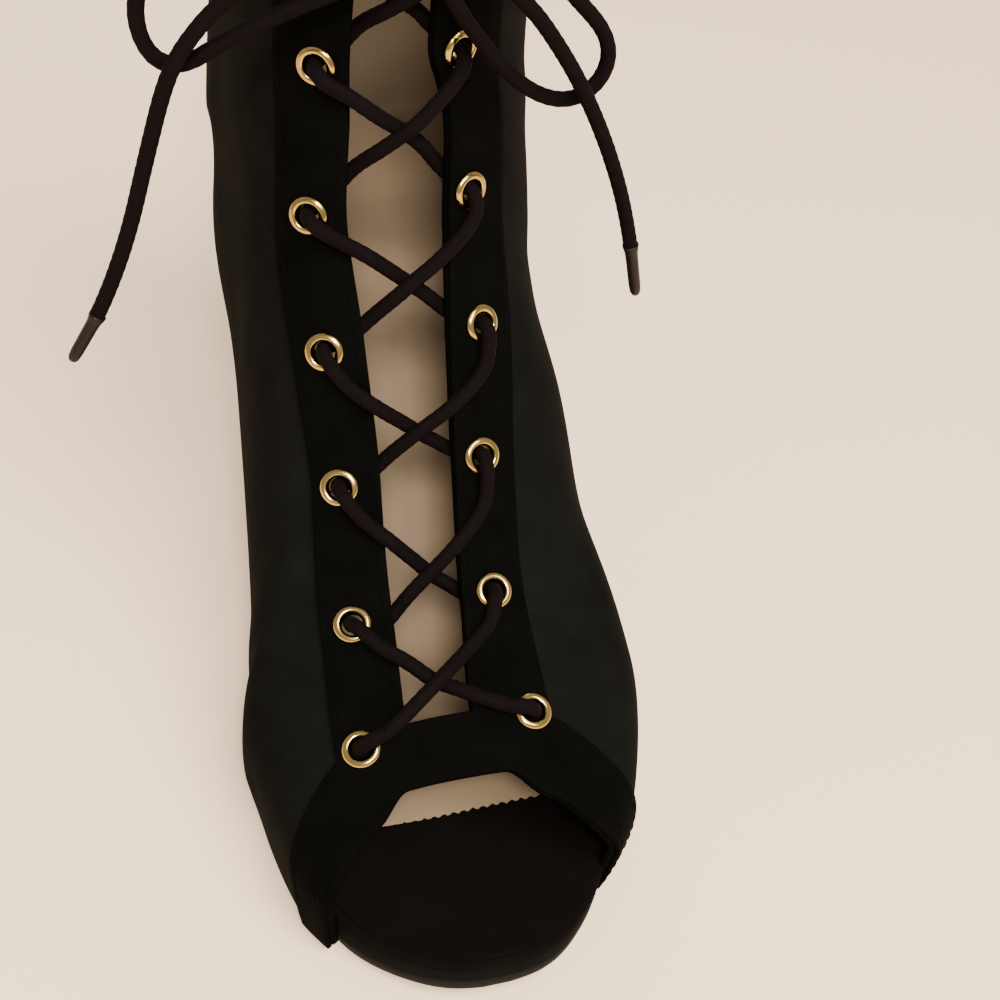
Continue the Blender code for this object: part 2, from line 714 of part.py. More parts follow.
def tube_rings(points, radius, sides):
    """Rings of a round cord along a path, each turned as little as possible from the last."""
    points = np.array(points, float)
    ways = np.gradient(points, axis=0)
    ways /= np.linalg.norm(ways, axis=1, keepdims=True)
    across = np.cross(ways[0], [1.0, 0.0, 0.0])
    rings = []
    for point, way in zip(points, ways):
        across = across - (across @ way) * way
        across /= np.linalg.norm(across)
        other = np.cross(way, across)
        angles = [2 * np.pi * (k + 0.5) / sides for k in range(sides)]
        rings.append([point + radius * (np.cos(a) * across + np.sin(a) * other) for a in angles])
    return rings


def ridge_table(steps=240):
    """Section numbers and the length along the instep ridge up to each."""
    numbers = np.linspace(0, len(SECTIONS) - 1, steps)
    ridge = np.array([(g["top_y"], g["top_z"]) for g in map(section, numbers)])
    length = np.concatenate([[0], np.cumsum(np.linalg.norm(np.diff(ridge, axis=0), axis=1))])
    return numbers, length


def strand(start, end, heights, layer, droop, trims):
    """Path of one lace strand between two eyelets, given as (section, distance) on the upper."""
    numbers, length = ridge_table()
    low, high = (np.interp(place[0], numbers, length) for place in (start, end))
    ends = [surface_point(*place) for place in (start, end)]
    path = []
    for share in np.linspace(0, 1, STRAND_STEPS):
        sag = droop * lookup(DROOP_COURSE, CROSSING_COLUMNS, layer, share)
        number = np.interp(low + (high - low) * share - sag, length, numbers)
        distance = start[1] + (end[1] - start[1]) * share
        below = surface_point(number, distance)
        if all(np.linalg.norm(below - e) > trim for e, trim in zip(ends, trims)):
            path.append(raised_point(number, distance, lookup(heights, CROSSING_COLUMNS, layer, share)))
    path = np.array(path)
    along = np.concatenate([[0], np.cumsum(np.linalg.norm(np.diff(path, axis=0), axis=1))])
    stops = np.linspace(0, along[-1], STRAND_RINGS)
    return np.stack([np.interp(stops, along, path[:, k]) for k in range(3)], 1)


def build_crossings(materials):
    """One joined solid for each crossing of the lace between two rows of eyelets."""
    for row, (lower, upper) in enumerate(zip(EYELET_ROWS, EYELET_ROWS[1:]), 1):
        heights = LOWEST_CROSSING if row == 1 else CROSSING
        trims = (CLEAR_OF_FLANGE if row == 1 else CLEAR_OF_BARREL, CLEAR_OF_FLANGE)
        places = {
            "over": (eyelet_place(lower, "medial"), eyelet_place(upper, "lateral")),
            "under": (eyelet_place(lower, "lateral"), eyelet_place(upper, "medial")),
        }
        strands = {}
        for layer, (start, end) in places.items():
            path = strand(start, end, heights, layer, LACE_DROOPS[layer][row - 1], trims)
            solid = ring_loft(tube_rings(path, LACE_RADIUS, LACE_SIDES))
            name = f"lace_cross_{row}" if layer == "over" else f"lace_under_{row}"
            strands[layer] = add_mesh(name, *solid, materials["lace"])
        add_boolean(strands["over"], strands["under"], "UNION")


def curve_through(route, spacing, fine_steps=20):
    """Evenly spaced points of a smooth curve through a route's points."""
    route = [np.array(p, float) for p in route]
    ends = [2 * route[0] - route[1]], [2 * route[-1] - route[-2]]
    knots = [*ends[0], *route, *ends[1]]
    fine = []
    for before, start, end, after in zip(knots, knots[1:], knots[2:], knots[3:]):
        for t in np.linspace(0, 1, fine_steps, endpoint=False):
            bend = 2 * before - 5 * start + 4 * end - after
            twist = 3 * start - before - 3 * end + after
            fine.append(start + 0.5 * ((end - before) * t + bend * t ** 2 + twist * t ** 3))
    fine = np.array([*fine, route[-1]])
    length = np.concatenate([[0], np.cumsum(np.linalg.norm(np.diff(fine, axis=0), axis=1))])
    count = max(2, round(length[-1] / spacing) + 1)
    stops = np.linspace(0, length[-1], count)
    return np.stack([np.interp(stops, length, fine[:, k]) for k in range(3)], 1)


def add_cord(name, points, radius, material):
    """Round cord along points in millimetres, with closed ends."""
    curve = bpy.data.curves.new(name, "CURVE")
    curve.dimensions = "3D"
    curve.bevel_depth = radius * MM
    curve.bevel_resolution = 2
    curve.use_fill_caps = True
    spline = curve.splines.new("POLY")
    spline.points.add(len(points) - 1)
    for place, point in zip(spline.points, points):
        place.co = (*(point * MM), 1.0)
    obj = bpy.data.objects.new(name, curve)
    bpy.context.scene.collection.objects.link(obj)
    obj.data.materials.append(material)


def build_bow(materials):
    radii = {"bow_knot": KNOT_RADIUS, "aglet_medial": AGLET_RADIUS, "aglet_lateral": AGLET_RADIUS}
    for name, route in BOW_ROUTES.items():
        material = materials["aglet" if name.startswith("aglet") else "lace"]
        add_cord(name, curve_through(route, CORD_SPACING), radii.get(name, LACE_RADIUS), material)


def main():
    for obj in list(bpy.data.objects):
        bpy.data.objects.remove(obj, do_unlink=True)
    materials = {name: make_material(name) for name in MATERIALS}
    grid = UpperGrid()
    pieces = build_upper(grid, materials)
    build_sole(grid, materials)
    build_heel(grid, materials)
    build_eyelets(grid, materials, pieces)
    build_crossings(materials)
    build_bow(materials)


main()
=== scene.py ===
"""Dressed lace-up peep-toe ankle boot for the left foot, standing empty on a pale floor.

Sizes are in millimetres in the boot's own frame: toe towards -Y, heel towards +Y, little toe side
towards +X, floor at Z = 0. Meshes are made in metres.
"""

import logging
import math
from collections.abc import Callable, Iterable, Sequence
from dataclasses import dataclass, field
from enum import Enum, StrEnum

import bpy
import numpy as np
from mathutils import Matrix


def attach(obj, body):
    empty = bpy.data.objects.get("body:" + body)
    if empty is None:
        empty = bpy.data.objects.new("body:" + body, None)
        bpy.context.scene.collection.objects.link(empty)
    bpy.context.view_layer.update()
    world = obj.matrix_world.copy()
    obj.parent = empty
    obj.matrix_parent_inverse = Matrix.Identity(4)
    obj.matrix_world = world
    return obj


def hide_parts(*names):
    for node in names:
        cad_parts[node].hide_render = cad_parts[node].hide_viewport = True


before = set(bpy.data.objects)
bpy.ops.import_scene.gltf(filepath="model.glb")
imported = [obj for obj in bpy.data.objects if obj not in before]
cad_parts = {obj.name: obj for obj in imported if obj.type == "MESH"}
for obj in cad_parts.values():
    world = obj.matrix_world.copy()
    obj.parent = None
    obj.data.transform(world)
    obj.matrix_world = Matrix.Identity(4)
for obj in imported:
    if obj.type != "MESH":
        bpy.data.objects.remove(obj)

MM = 0.001
TINY = 1e-6
LOG = logging.getLogger("boot")

Colour = tuple[float, float, float]
Point = tuple[float, float, float]
Route = tuple[Point, ...]
Place = tuple[float, float]
Height = Callable[[np.ndarray, np.ndarray], np.ndarray]


class Flank(StrEnum):
    """Side of the boot: medial is the big toe side, lateral the little toe side."""

    MEDIAL = "medial"
    LATERAL = "lateral"

    @property
    def other(self) -> "Flank":
        """The side across from this one."""
        return Flank.LATERAL if self is Flank.MEDIAL else Flank.MEDIAL


# Tables and curves


def smooth(xs: Sequence[float], ys: Sequence[float], x: np.ndarray | float) -> np.ndarray:
    """Read a smooth curve through a table without ever overshooting its rows.

    Args:
        xs: Rising values that the table is read by.
        ys: Values at them.
        x: Where to read it.

    Returns:
        The values at x.
    """
    xs, ys, x = (np.asarray(v, float) for v in (xs, ys, x))
    step = np.diff(xs)
    rise = np.diff(ys) / step
    before, after = 2 * step[1:] + step[:-1], step[1:] + 2 * step[:-1]
    with np.errstate(divide="ignore", invalid="ignore"):
        mean = (before + after) / (before / rise[:-1] + after / rise[1:])
    inner = np.where(rise[:-1] * rise[1:] > 0, mean, 0.0)
    slope = np.concatenate([rise[:1], inner, rise[-1:]])
    i = np.clip(np.searchsorted(xs, x, "right") - 1, 0, len(xs) - 2)
    t = np.clip((x - xs[i]) / step[i], 0, 1)
    flat, turn = t * t * (3 - 2 * t), t * (1 - t)
    level = ys[i] * (1 - flat) + ys[i + 1] * flat
    return level + step[i] * turn * (slope[i] * (1 - t) - slope[i + 1] * t)


@dataclass(frozen=True)
class Table:
    """A short table of sizes with named columns, read by its first column."""

    columns: tuple[str, ...]
    rows: tuple[tuple[float, ...], ...]

    def column(self, name: str) -> np.ndarray:
        """All values of one column."""
        return np.array([row[self.columns.index(name)] for row in self.rows], float)

    def at(self, name: str, x: np.ndarray | float) -> np.ndarray:
        """Smooth values of one column where the first column is x."""
        return smooth([row[0] for row in self.rows], self.column(name), x)


def unit(vectors: np.ndarray) -> np.ndarray:
    """Vectors scaled to length one."""
    return vectors / np.linalg.norm(vectors, axis=-1, keepdims=True)


def lengths_along(points: np.ndarray) -> np.ndarray:
    """Length along a path up to each of its points."""
    return np.concatenate([[0.0], np.cumsum(np.linalg.norm(np.diff(points, axis=0), axis=1))])


def refine(points: np.ndarray, per_span: int) -> np.ndarray:
    """Round off a run of points.

    Args:
        points: Points in order, in any number of dimensions.
        per_span: New points in each span.

    Returns:
        Points of a smooth curve through all of them.
    """
    points = np.asarray(points, float)
    padded = np.concatenate([[2 * points[0] - points[1]], points, [2 * points[-1] - points[-2]]])
    out = []
    for before, start, end, after in zip(padded, padded[1:], padded[2:], padded[3:]):
        for t in np.linspace(0, 1, per_span, endpoint=False):
            bend = 2 * before - 5 * start + 4 * end - after
            twist = 3 * start - before - 3 * end + after
            out.append(start + 0.5 * ((end - before) * t + bend * t**2 + twist * t**3))
    return np.array([*out, points[-1]])


def evenly(points: np.ndarray, spacing: float) -> np.ndarray:
    """Move the points of a path to equal spaces.

    Args:
        points: Points of the path.
        spacing: Space between the new points, nearly.

    Returns:
        Points from the same start to the same end.
    """
    length = lengths_along(points)
    stops = np.linspace(0, length[-1], max(2, round(length[-1] / spacing) + 1))
    return np.stack([np.interp(stops, length, points[:, k]) for k in range(points.shape[1])], 1)


def soften(points: np.ndarray, spacing: float, passes: int) -> np.ndarray:
    """Take the kinks out of a path.

    Args:
        points: Points of the path, in two or three dimensions.
        spacing: Space between the new points.
        passes: How often each point moves towards its neighbours.

    Returns:
        Evenly spaced points with the same two ends.
    """
    soft = evenly(points, spacing)
    for _ in range(passes):
        soft[1:-1] = (soft[:-2] + 2 * soft[1:-1] + soft[2:]) / 4
    return soft


def with_count(points: np.ndarray, count: int) -> np.ndarray:
    """Give a path a number of equally spaced points.

    Args:
        points: Points of the path.
        count: How many new points it gets.

    Returns:
        Points from the same start to the same end.
    """
    length = lengths_along(points)
    stops = np.linspace(0, length[-1], count)
    return np.stack([np.interp(stops, length, points[:, k]) for k in range(points.shape[1])], 1)


# The last


SECTIONS = Table(
    (
        "number", "bottom_y", "bottom_z", "top_y", "top_z", "medial", "lateral", "base", "widest",
        "medial_crown", "lateral_crown", "swing",
    ),
    (
        (0, -41.0, 3.6, -42.0, 28.0, 30.2, 28.5, 0.95, 0.45, 2.2, 2.2, -1.5),
        (1, -21.0, 1.8, -21.0, 39.0, 39.0, 40.7, 0.96, 0.42, 2.2, 2.2, -1.0),
        (2, 7.0, 1.8, 15.3, 56.0, 43.4, 49.8, 0.95, 0.38, 2.1, 2.0, 0.0),
        (3, 41.0, 9.0, 35.0, 82.0, 37.8, 47.3, 0.90, 0.38, 2.1, 1.8, 1.0),
        (4, 77.0, 36.4, 48.0, 107.0, 35.4, 42.2, 0.84, 0.38, 2.7, 1.7, 2.0),
        (5, 110.0, 62.2, 61.2, 130.0, 34.0, 37.8, 0.82, 0.40, 2.9, 1.7, 3.0),
        (6, 139.0, 78.0, 63.0, 147.0, 33.8, 38.2, 0.80, 0.42, 3.0, 1.7, 3.5),
        (7, 156.0, 82.9, 64.8, 154.0, 33.4, 38.5, 0.62, 0.45, 3.0, 1.7, 3.5),
        (8, 165.0, 84.8, 65.6, 158.0, 33.2, 38.6, 0.36, 0.48, 3.0, 1.7, 3.5),
        (9, 169.0, 85.6, 65.9, 162.0, 33.0, 38.7, 0.00, 0.50, 3.0, 1.7, 3.5),
        (10, 173.0, 105.0, 65.0, 174.0, 32.8, 38.7, 0.00, 0.50, 3.0, 1.7, 3.5),
        (11, 163.0, 150.0, 64.0, 190.0, 32.9, 38.3, 0.00, 0.50, 3.0, 1.7, 3.5),
        (12, 156.0, 197.0, 62.0, 208.0, 34.8, 38.8, 0.00, 0.50, 3.0, 1.7, 3.5),
    ),
)
STAYS = Table(
    ("number", "stay_medial", "throat_medial", "throat_lateral", "stay_lateral"),
    (
        (0.3, -26.0, -12.0, 4.0, 20.0),
        (0.9, -27.0, -12.5, 5.0, 21.0),
        (1.3, -27.5, -12.0, 3.2, 20.5),
        (1.9, -26.5, -10.5, 5.9, 20.3),
        (2.8, -26.4, -10.4, 7.0, 21.6),
        (3.8, -28.7, -12.4, 7.0, 23.7),
        (4.9, -31.8, -15.0, 8.2, 25.4),
        (8.5, -32.8, -14.7, 3.2, 24.6),
        (12.0, -34.0, -14.2, 2.4, 22.5),
    ),
)
RIM = Table(
    ("distance", "rim", "band"),
    (
        (0.0, 0.925, 1.305),
        (10.0, 0.925, 1.305),
        (18.0, 0.710, 1.285),
        (22.0, 0.640, 1.260),
        (26.0, 0.555, 1.215),
        (31.0, 0.465, 1.130),
        (36.0, 0.395, 1.045),
        (41.0, 0.355, 0.965),
        (48.0, 0.335, 0.870),
        (56.0, 0.330, 0.790),
        (70.0, 0.330, 0.730),
    ),
)
CREASES = Table(
    ("number", "distance", "end_number", "end_distance", "width", "depth"),
    (
        (4.60, -40.0, 4.95, -78.0, 4.0, 0.50),
        (5.30, -42.0, 5.90, -74.0, 4.5, 0.45),
        (4.10, -36.0, 4.20, -60.0, 3.5, 0.35),
        (4.70, 30.0, 5.05, 66.0, 4.0, 0.45),
        (5.60, 29.0, 6.30, 60.0, 4.5, 0.40),
        (2.35, -32.0, 2.10, -56.0, 3.5, 0.30),
        (2.30, 27.0, 2.05, 50.0, 3.5, 0.30),
    ),
)
SWELLS = Table(
    ("number", "distance", "number_spread", "distance_spread", "height"),
    (
        (5.40, -88.0, 0.75, 22.0, 2.3),
        (9.10, -98.0, 1.10, 18.0, 1.4),
        (2.42, -61.0, 0.15, 20.0, -1.05),
        (1.93, -70.0, 0.18, 20.0, 1.1),
        (4.50, 54.0, 0.42, 16.0, -1.15),
        (3.16, 62.0, 0.50, 24.0, -1.85),
        (7.40, 57.5, 1.50, 16.0, 1.15),
    ),
)


@dataclass
class Last:
    """The boot's form as one surface, read by section number and distance round the section."""

    sections: Table = SECTIONS
    creases: Table = CREASES
    swells: Table = SWELLS
    swell_fade: float = 12.0
    slack: float = 0.16
    slack_waves: tuple[Place, Place] = ((13.0, 17.0), (23.0, 9.0))
    crease_taper: tuple[float, float] = (0.12, 0.76)
    crease_lip: tuple[float, float] = (0.45, 2.2)
    steps_per_section: int = 40
    arc_steps: int = 40
    open_base: float = 0.8
    back_number: float = 9.0
    normal_steps: tuple[float, float] = (0.05, 0.6)
    tuck_depth: float = 2.0
    tuck_number: float = 1.1
    tuck_height: float = 30.0
    tuck_power: float = 1.5
    tuck_full: float = 0.6

    def __post_init__(self) -> None:
        """Work out every section curve once."""
        count = int(self.sections.column("number")[-1]) * self.steps_per_section + 1
        self.numbers = np.arange(count) / self.steps_per_section
        self.curves = np.array([self.section_curve(n) for n in self.numbers])
        rounds = np.array([lengths_along(curve) for curve in self.curves])
        middle = 2 * self.arc_steps - 2
        self.rounds = rounds - rounds[:, [middle]]
        self.ridge = lengths_along(self.curves[:, middle])

    def section_curve(self, number: float) -> np.ndarray:
        """Work out one section.

        Args:
            number: Its number.

        Returns:
            Points from its medial base over the ridge to its lateral base.
        """
        g = {name: float(self.sections.at(name, number)) for name in self.sections.columns[1:]}
        closed = float(np.clip(1 - g["base"] / self.open_base, 0, 1))
        phi = np.linspace(0, np.pi / 2, self.arc_steps)
        low_x = g["base"] + (1 - g["base"]) * np.sin(phi)
        low_h = g["widest"] * (closed * (1 - np.cos(phi)) + (1 - closed) * phi / (np.pi / 2))
        sides = []
        for side, way in ((Flank.MEDIAL, -1), (Flank.LATERAL, 1)):
            power = 2 / g[side + "_crown"]
            high_x = np.clip(np.cos(phi), 0, 1) ** power
            high_h = g["widest"] + (1 - g["widest"]) * np.sin(phi) ** power
            x = np.concatenate([low_x, high_x[1:]])
            h = np.concatenate([low_h, high_h[1:]])
            y = g["bottom_y"] + (g["top_y"] - g["bottom_y"]) * h
            z = g["bottom_z"] + (g["top_z"] - g["bottom_z"]) * h
            sides.append(np.stack([g["swing"] + way * g[side] * x, y, z], 1))
        medial, lateral = sides
        return np.concatenate([medial, lateral[::-1][1:]])

    def reach(self, number: np.ndarray) -> tuple[np.ndarray, np.ndarray]:
        """Distances of a section's medial and lateral base."""
        return tuple(np.interp(number, self.numbers, self.rounds[:, k]) for k in (0, -1))

    def points(self, number: np.ndarray, distance: np.ndarray) -> np.ndarray:
        """Points of the plain outside.

        Args:
            number: Section numbers.
            distance: Distances round them from the ridge, medial minus.

        Returns:
            Points in millimetres, with one more dimension than the inputs.
        """
        number, distance = np.broadcast_arrays(np.asarray(number, float), np.asarray(distance, float))
        place = np.clip(number.ravel(), 0, self.numbers[-1]) * self.steps_per_section
        low = np.clip(np.floor(place).astype(int), 0, len(self.numbers) - 2)
        share = (place - low)[:, None]
        flat = distance.ravel()
        side = np.where(flat < 0, 0, -1)
        part = flat / np.where(flat < 0, *self.reach(number.ravel()))
        out = np.empty((len(flat), 3))
        for k in np.unique(low):
            here = low == k
            ends = []
            for n in (k, k + 1):
                stops = part[here] * self.rounds[n, side[here]]
                axes = [np.interp(stops, self.rounds[n], axis) for axis in self.curves[n].T]
                ends.append(np.stack(axes, 1))
            out[here] = ends[0] + (ends[1] - ends[0]) * share[here]
        return out.reshape(*number.shape, 3)

    def normals(self, number: np.ndarray, distance: np.ndarray) -> np.ndarray:
        """Outward directions of the plain outside.

        Args:
            number: Section numbers.
            distance: Distances round them from the ridge, medial minus.

        Returns:
            Directions of length one.
        """
        section_step, step = self.normal_steps
        number, distance = np.asarray(number, float), np.asarray(distance, float)
        low, high = self.reach(number)
        share = distance / np.where(distance < 0, low, high)
        ends = []
        for moved in (number - section_step, number + section_step):
            low, high = self.reach(moved)
            ends.append(self.points(moved, share * np.where(distance < 0, low, high)))
        across = self.points(number, distance + step) - self.points(number, distance - step)
        return unit(np.cross(across, ends[1] - ends[0]))

    def along_ridge(self, number: np.ndarray) -> np.ndarray:
        """Length along the instep ridge up to a section."""
        return np.interp(number, self.numbers, self.ridge)

    def at_length(self, length: np.ndarray) -> np.ndarray:
        """Section number at a length along the instep ridge."""
        return np.interp(length, self.ridge, self.numbers)

    def relief(self, number: np.ndarray, distance: np.ndarray) -> np.ndarray:
        """Height of the soft creases, the slack between them, the swells and the tuck.

        Args:
            number: Section numbers.
            distance: Distances round them from the ridge, medial minus.

        Returns:
            Heights over the plain outside.
        """
        along = self.along_ridge(number)
        (long, wide), (next_long, next_wide) = self.slack_waves
        total = self.slack * np.sin(along / long + distance / wide)
        total = total * np.sin(distance / next_wide - along / next_long)
        taper_start, taper_run = self.crease_taper
        lip, lip_width = self.crease_lip
        for start, across, end, end_across, width, depth in self.creases.rows:
            a = np.array([float(self.along_ridge(start)), across])
            b = np.array([float(self.along_ridge(end)), end_across])
            run = b - a
            offset = np.stack([along - a[0], distance - a[1]], -1)
            share = offset @ run / (run @ run)
            aside = np.linalg.norm(offset - np.clip(share, 0, 1)[..., None] * run, axis=-1)
            taper = np.sin(np.pi * np.clip(taper_start + taper_run * share, 0, 1))
            raised_lip = lip * np.exp(-((aside / (lip_width * width)) ** 2))
            dip = np.exp(-((aside / width) ** 2)) - raised_lip
            total = total - depth * taper * dip
        return total + self.swelling(number, distance) - self.tuck(number, distance)

    def swelling(self, number: np.ndarray, distance: np.ndarray) -> np.ndarray:
        """Height of the soft swells and hollows of the empty upper.

        Args:
            number: Section numbers.
            distance: Distances round them from the ridge, medial minus.

        Returns:
            Heights, which fade out at the base.
        """
        low, high = self.reach(number)
        room = np.where(distance < 0, distance - low, high - distance)
        total = np.zeros(np.broadcast(number, distance).shape)
        for centre, across, spread, spread_across, height in self.swells.rows:
            away = ((number - centre) / spread) ** 2 + ((distance - across) / spread_across) ** 2
            total = total + height * np.exp(-away)
        return total * np.clip(room / self.swell_fade, 0, 1)

    def tuck(self, number: np.ndarray, distance: np.ndarray) -> np.ndarray:
        """How far the lateral front end is drawn in towards the sole.

        Args:
            number: Section numbers.
            distance: Distances round them from the ridge, medial minus.

        Returns:
            Depths under the plain outside.
        """
        from_base = np.clip(1 - (self.reach(number)[1] - distance) / self.tuck_height, 0, 1)
        from_end = np.clip((self.tuck_number - number) / self.tuck_number, 0, 1)
        drawn = self.tuck_depth * from_base**self.tuck_power
        return drawn * (3 - 2 * from_end) * from_end**2 / self.tuck_full

    def raised(
        self, number: np.ndarray, distance: np.ndarray, height: np.ndarray | float
    ) -> np.ndarray:
        """Points at a height over the creased outside.

        Args:
            number: Section numbers.
            distance: Distances round them.
            height: Heights along the outward direction.

        Returns:
            Points in millimetres.
        """
        number, distance = np.asarray(number, float), np.asarray(distance, float)
        rise = np.asarray(height, float) + self.relief(number, distance)
        return self.points(number, distance) + rise[..., None] * self.normals(number, distance)


# Finishes


class Grain(Enum):
    """What a finish shows close up."""

    NAP = "nap"
    PORES = "pores"
    BRUSHED = "brushed"
    YARN = "yarn"
    SMOOTH = "smooth"


@dataclass(frozen=True)
class Finish:
    """One surface finish, made from noise in object coordinates."""

    name: str
    colour: Colour
    shade: Colour
    grain: Grain
    mottle_scale: float = 60.0
    grain_scale: float = 1800.0
    bump: float = 0.2
    bump_depth: float = 0.0002
    roughness: tuple[float, float] = (0.8, 0.95)
    specular: float = 0.3
    metallic: float = 0.0
    sheen: float = 0.0
    sheen_colour: Colour = (1.0, 1.0, 1.0)
    coat: float = 0.0
    mottle_detail: float = 4.0
    grain_detail: float = 3.0

    def material(self) -> bpy.types.Material:
        """Make the finish's material.

        Returns:
            A material with colour, roughness and bump from nodes.
        """
        made = bpy.data.materials.new(self.name)
        made.use_nodes = True
        nodes, links = made.node_tree.nodes, made.node_tree.links
        shader = nodes["Principled BSDF"]
        shader.inputs["Metallic"].default_value = self.metallic
        shader.inputs["Specular IOR Level"].default_value = self.specular
        shader.inputs["Sheen Weight"].default_value = self.sheen
        shader.inputs["Sheen Tint"].default_value = (*self.sheen_colour, 1.0)
        shader.inputs["Coat Weight"].default_value = self.coat
        where = nodes.new("ShaderNodeTexCoord")
        mottle = self.noise(nodes, links, where, self.mottle_scale, self.mottle_detail)
        tone = nodes.new("ShaderNodeMix")
        tone.data_type = "RGBA"
        tone.inputs["A"].default_value = (*self.colour, 1.0)
        tone.inputs["B"].default_value = (*self.shade, 1.0)
        links.new(mottle.outputs["Fac"], tone.inputs["Factor"])
        links.new(tone.outputs["Result"], shader.inputs["Base Color"])
        rough = nodes.new("ShaderNodeMapRange")
        rough.inputs["To Min"].default_value = self.roughness[0]
        rough.inputs["To Max"].default_value = self.roughness[1]
        links.new(mottle.outputs["Fac"], rough.inputs["Value"])
        links.new(rough.outputs["Result"], shader.inputs["Roughness"])
        relief = nodes.new("ShaderNodeBump")
        relief.inputs["Strength"].default_value = self.bump
        relief.inputs["Distance"].default_value = self.bump_depth
        links.new(self.grain_height(nodes, links, where), relief.inputs["Height"])
        links.new(relief.outputs["Normal"], shader.inputs["Normal"])
        return made

    def noise(
        self,
        nodes: bpy.types.Nodes,
        links: bpy.types.NodeLinks,
        where: bpy.types.Node,
        scale: float,
        detail: float,
        stretch: Colour = (1.0, 1.0, 1.0),
    ) -> bpy.types.Node:
        """Add one noise texture on object coordinates.

        Args:
            nodes: The material's nodes.
            links: The material's links.
            where: Its texture coordinates.
            scale: Grains per metre.
            detail: Octaves.
            stretch: Scale along each axis.

        Returns:
            The noise node.
        """
        mapping = nodes.new("ShaderNodeMapping")
        mapping.inputs["Scale"].default_value = stretch
        links.new(where.outputs["Object"], mapping.inputs["Vector"])
        made = nodes.new("ShaderNodeTexNoise")
        made.inputs["Scale"].default_value = scale
        made.inputs["Detail"].default_value = detail
        links.new(mapping.outputs["Vector"], made.inputs["Vector"])
        return made

    def grain_height(
        self, nodes: bpy.types.Nodes, links: bpy.types.NodeLinks, where: bpy.types.Node
    ) -> bpy.types.NodeSocket:
        """Add the nodes of the close-up grain.

        Args:
            nodes: The material's nodes.
            links: The material's links.
            where: Its texture coordinates.

        Returns:
            The socket with the grain's height.
        """
        if self.grain is Grain.PORES:
            cells = nodes.new("ShaderNodeTexVoronoi")
            cells.inputs["Scale"].default_value = self.grain_scale
            links.new(where.outputs["Object"], cells.inputs["Vector"])
            return cells.outputs["Distance"]
        stretch = {
            Grain.NAP: (1.0, 1.0, 0.45),
            Grain.BRUSHED: (1.0, 1.0, 0.08),
            Grain.YARN: (1.0, 0.4, 1.0),
            Grain.SMOOTH: (1.0, 1.0, 1.0),
        }[self.grain]
        fine = self.noise(nodes, links, where, self.grain_scale, self.grain_detail, stretch)
        return fine.outputs["Fac"]


SUEDE = Finish(
    "black_suede", (0.0057, 0.0059, 0.0052), (0.0021, 0.0022, 0.0019), Grain.NAP,
    mottle_scale=85.0, grain_scale=2300.0, bump=0.55, bump_depth=0.00022, roughness=(0.88, 0.98),
    specular=0.02, sheen=0.002, sheen_colour=(0.50, 0.47, 0.42),
)
BAND_SUEDE = Finish(
    "deep_black_suede", (0.0022, 0.0022, 0.0019), (0.0007, 0.0008, 0.0007), Grain.NAP,
    mottle_scale=120.0, grain_scale=2700.0, bump=0.5, bump_depth=0.0002, roughness=(0.90, 0.98),
    specular=0.02, sheen=0.001, sheen_colour=(0.45, 0.41, 0.36),
)
TOE_SUEDE = Finish(
    "toe_suede", (0.0040, 0.0031, 0.0026), (0.0024, 0.0019, 0.0016), Grain.NAP,
    mottle_scale=95.0, grain_scale=2300.0, bump=0.5, bump_depth=0.0002, roughness=(0.88, 0.98),
    specular=0.02, sheen=0.002, sheen_colour=(0.50, 0.42, 0.36),
)
# painted shade: the lining's own beige, made darker than the sock's to stand for the shade inside the
# heel under the collar
SHADED_LINING = Finish(
    "beige_lining", (0.15, 0.109, 0.070), (0.133, 0.097, 0.062), Grain.PORES,
    mottle_scale=40.0, grain_scale=1500.0, bump=0.15, bump_depth=0.00012, roughness=(0.6, 0.75),
    specular=0.25,
)
SOCK = Finish(
    "beige_sock", (0.228, 0.163, 0.103), (0.207, 0.147, 0.093), Grain.PORES,
    mottle_scale=45.0, grain_scale=1300.0, bump=0.12, bump_depth=0.00012, roughness=(0.55, 0.72),
    specular=0.25,
)
RUBBER = Finish(
    "sole_rubber", (0.0047, 0.0036, 0.0034), (0.0031, 0.0024, 0.0024), Grain.SMOOTH,
    mottle_scale=150.0, grain_scale=1600.0, bump=0.25, bump_depth=0.0002, roughness=(0.62, 0.80),
    specular=0.12,
)
GOLD = Finish(
    "polished_gold", (0.52, 0.37, 0.125), (0.38, 0.265, 0.085), Grain.BRUSHED,
    mottle_scale=420.0, grain_scale=2600.0, bump=0.06, bump_depth=0.00008, roughness=(0.12, 0.22),
    specular=0.5, metallic=1.0,
)
CORD = Finish(
    "woven_lace", (0.0042, 0.0025, 0.0028), (0.0020, 0.0012, 0.0013), Grain.YARN,
    mottle_scale=700.0, grain_scale=3200.0, bump=0.5, bump_depth=0.0002, roughness=(0.75, 0.92),
    specular=0.04, sheen=0.004, sheen_colour=(0.45, 0.32, 0.33),
)
THREAD = Finish(
    "black_thread", (0.0014, 0.0013, 0.0011), (0.0008, 0.0007, 0.0006), Grain.YARN,
    mottle_scale=900.0, grain_scale=4000.0, bump=0.3, bump_depth=0.0001, roughness=(0.75, 0.9),
    specular=0.03,
)
FILM = Finish(
    "aglet_film", (0.0070, 0.0044, 0.0040), (0.0042, 0.0027, 0.0024), Grain.SMOOTH,
    mottle_scale=500.0, grain_scale=1500.0, bump=0.1, bump_depth=0.0001, roughness=(0.40, 0.55),
    specular=0.14, coat=0.03,
)
FLOOR = Finish(
    "pale_floor", (0.97, 0.75, 0.55), (0.94, 0.725, 0.53), Grain.SMOOTH,
    mottle_scale=3.0, grain_scale=300.0, bump=0.02, bump_depth=0.0002, roughness=(0.55, 0.7),
    specular=0.25,
)


# Meshes


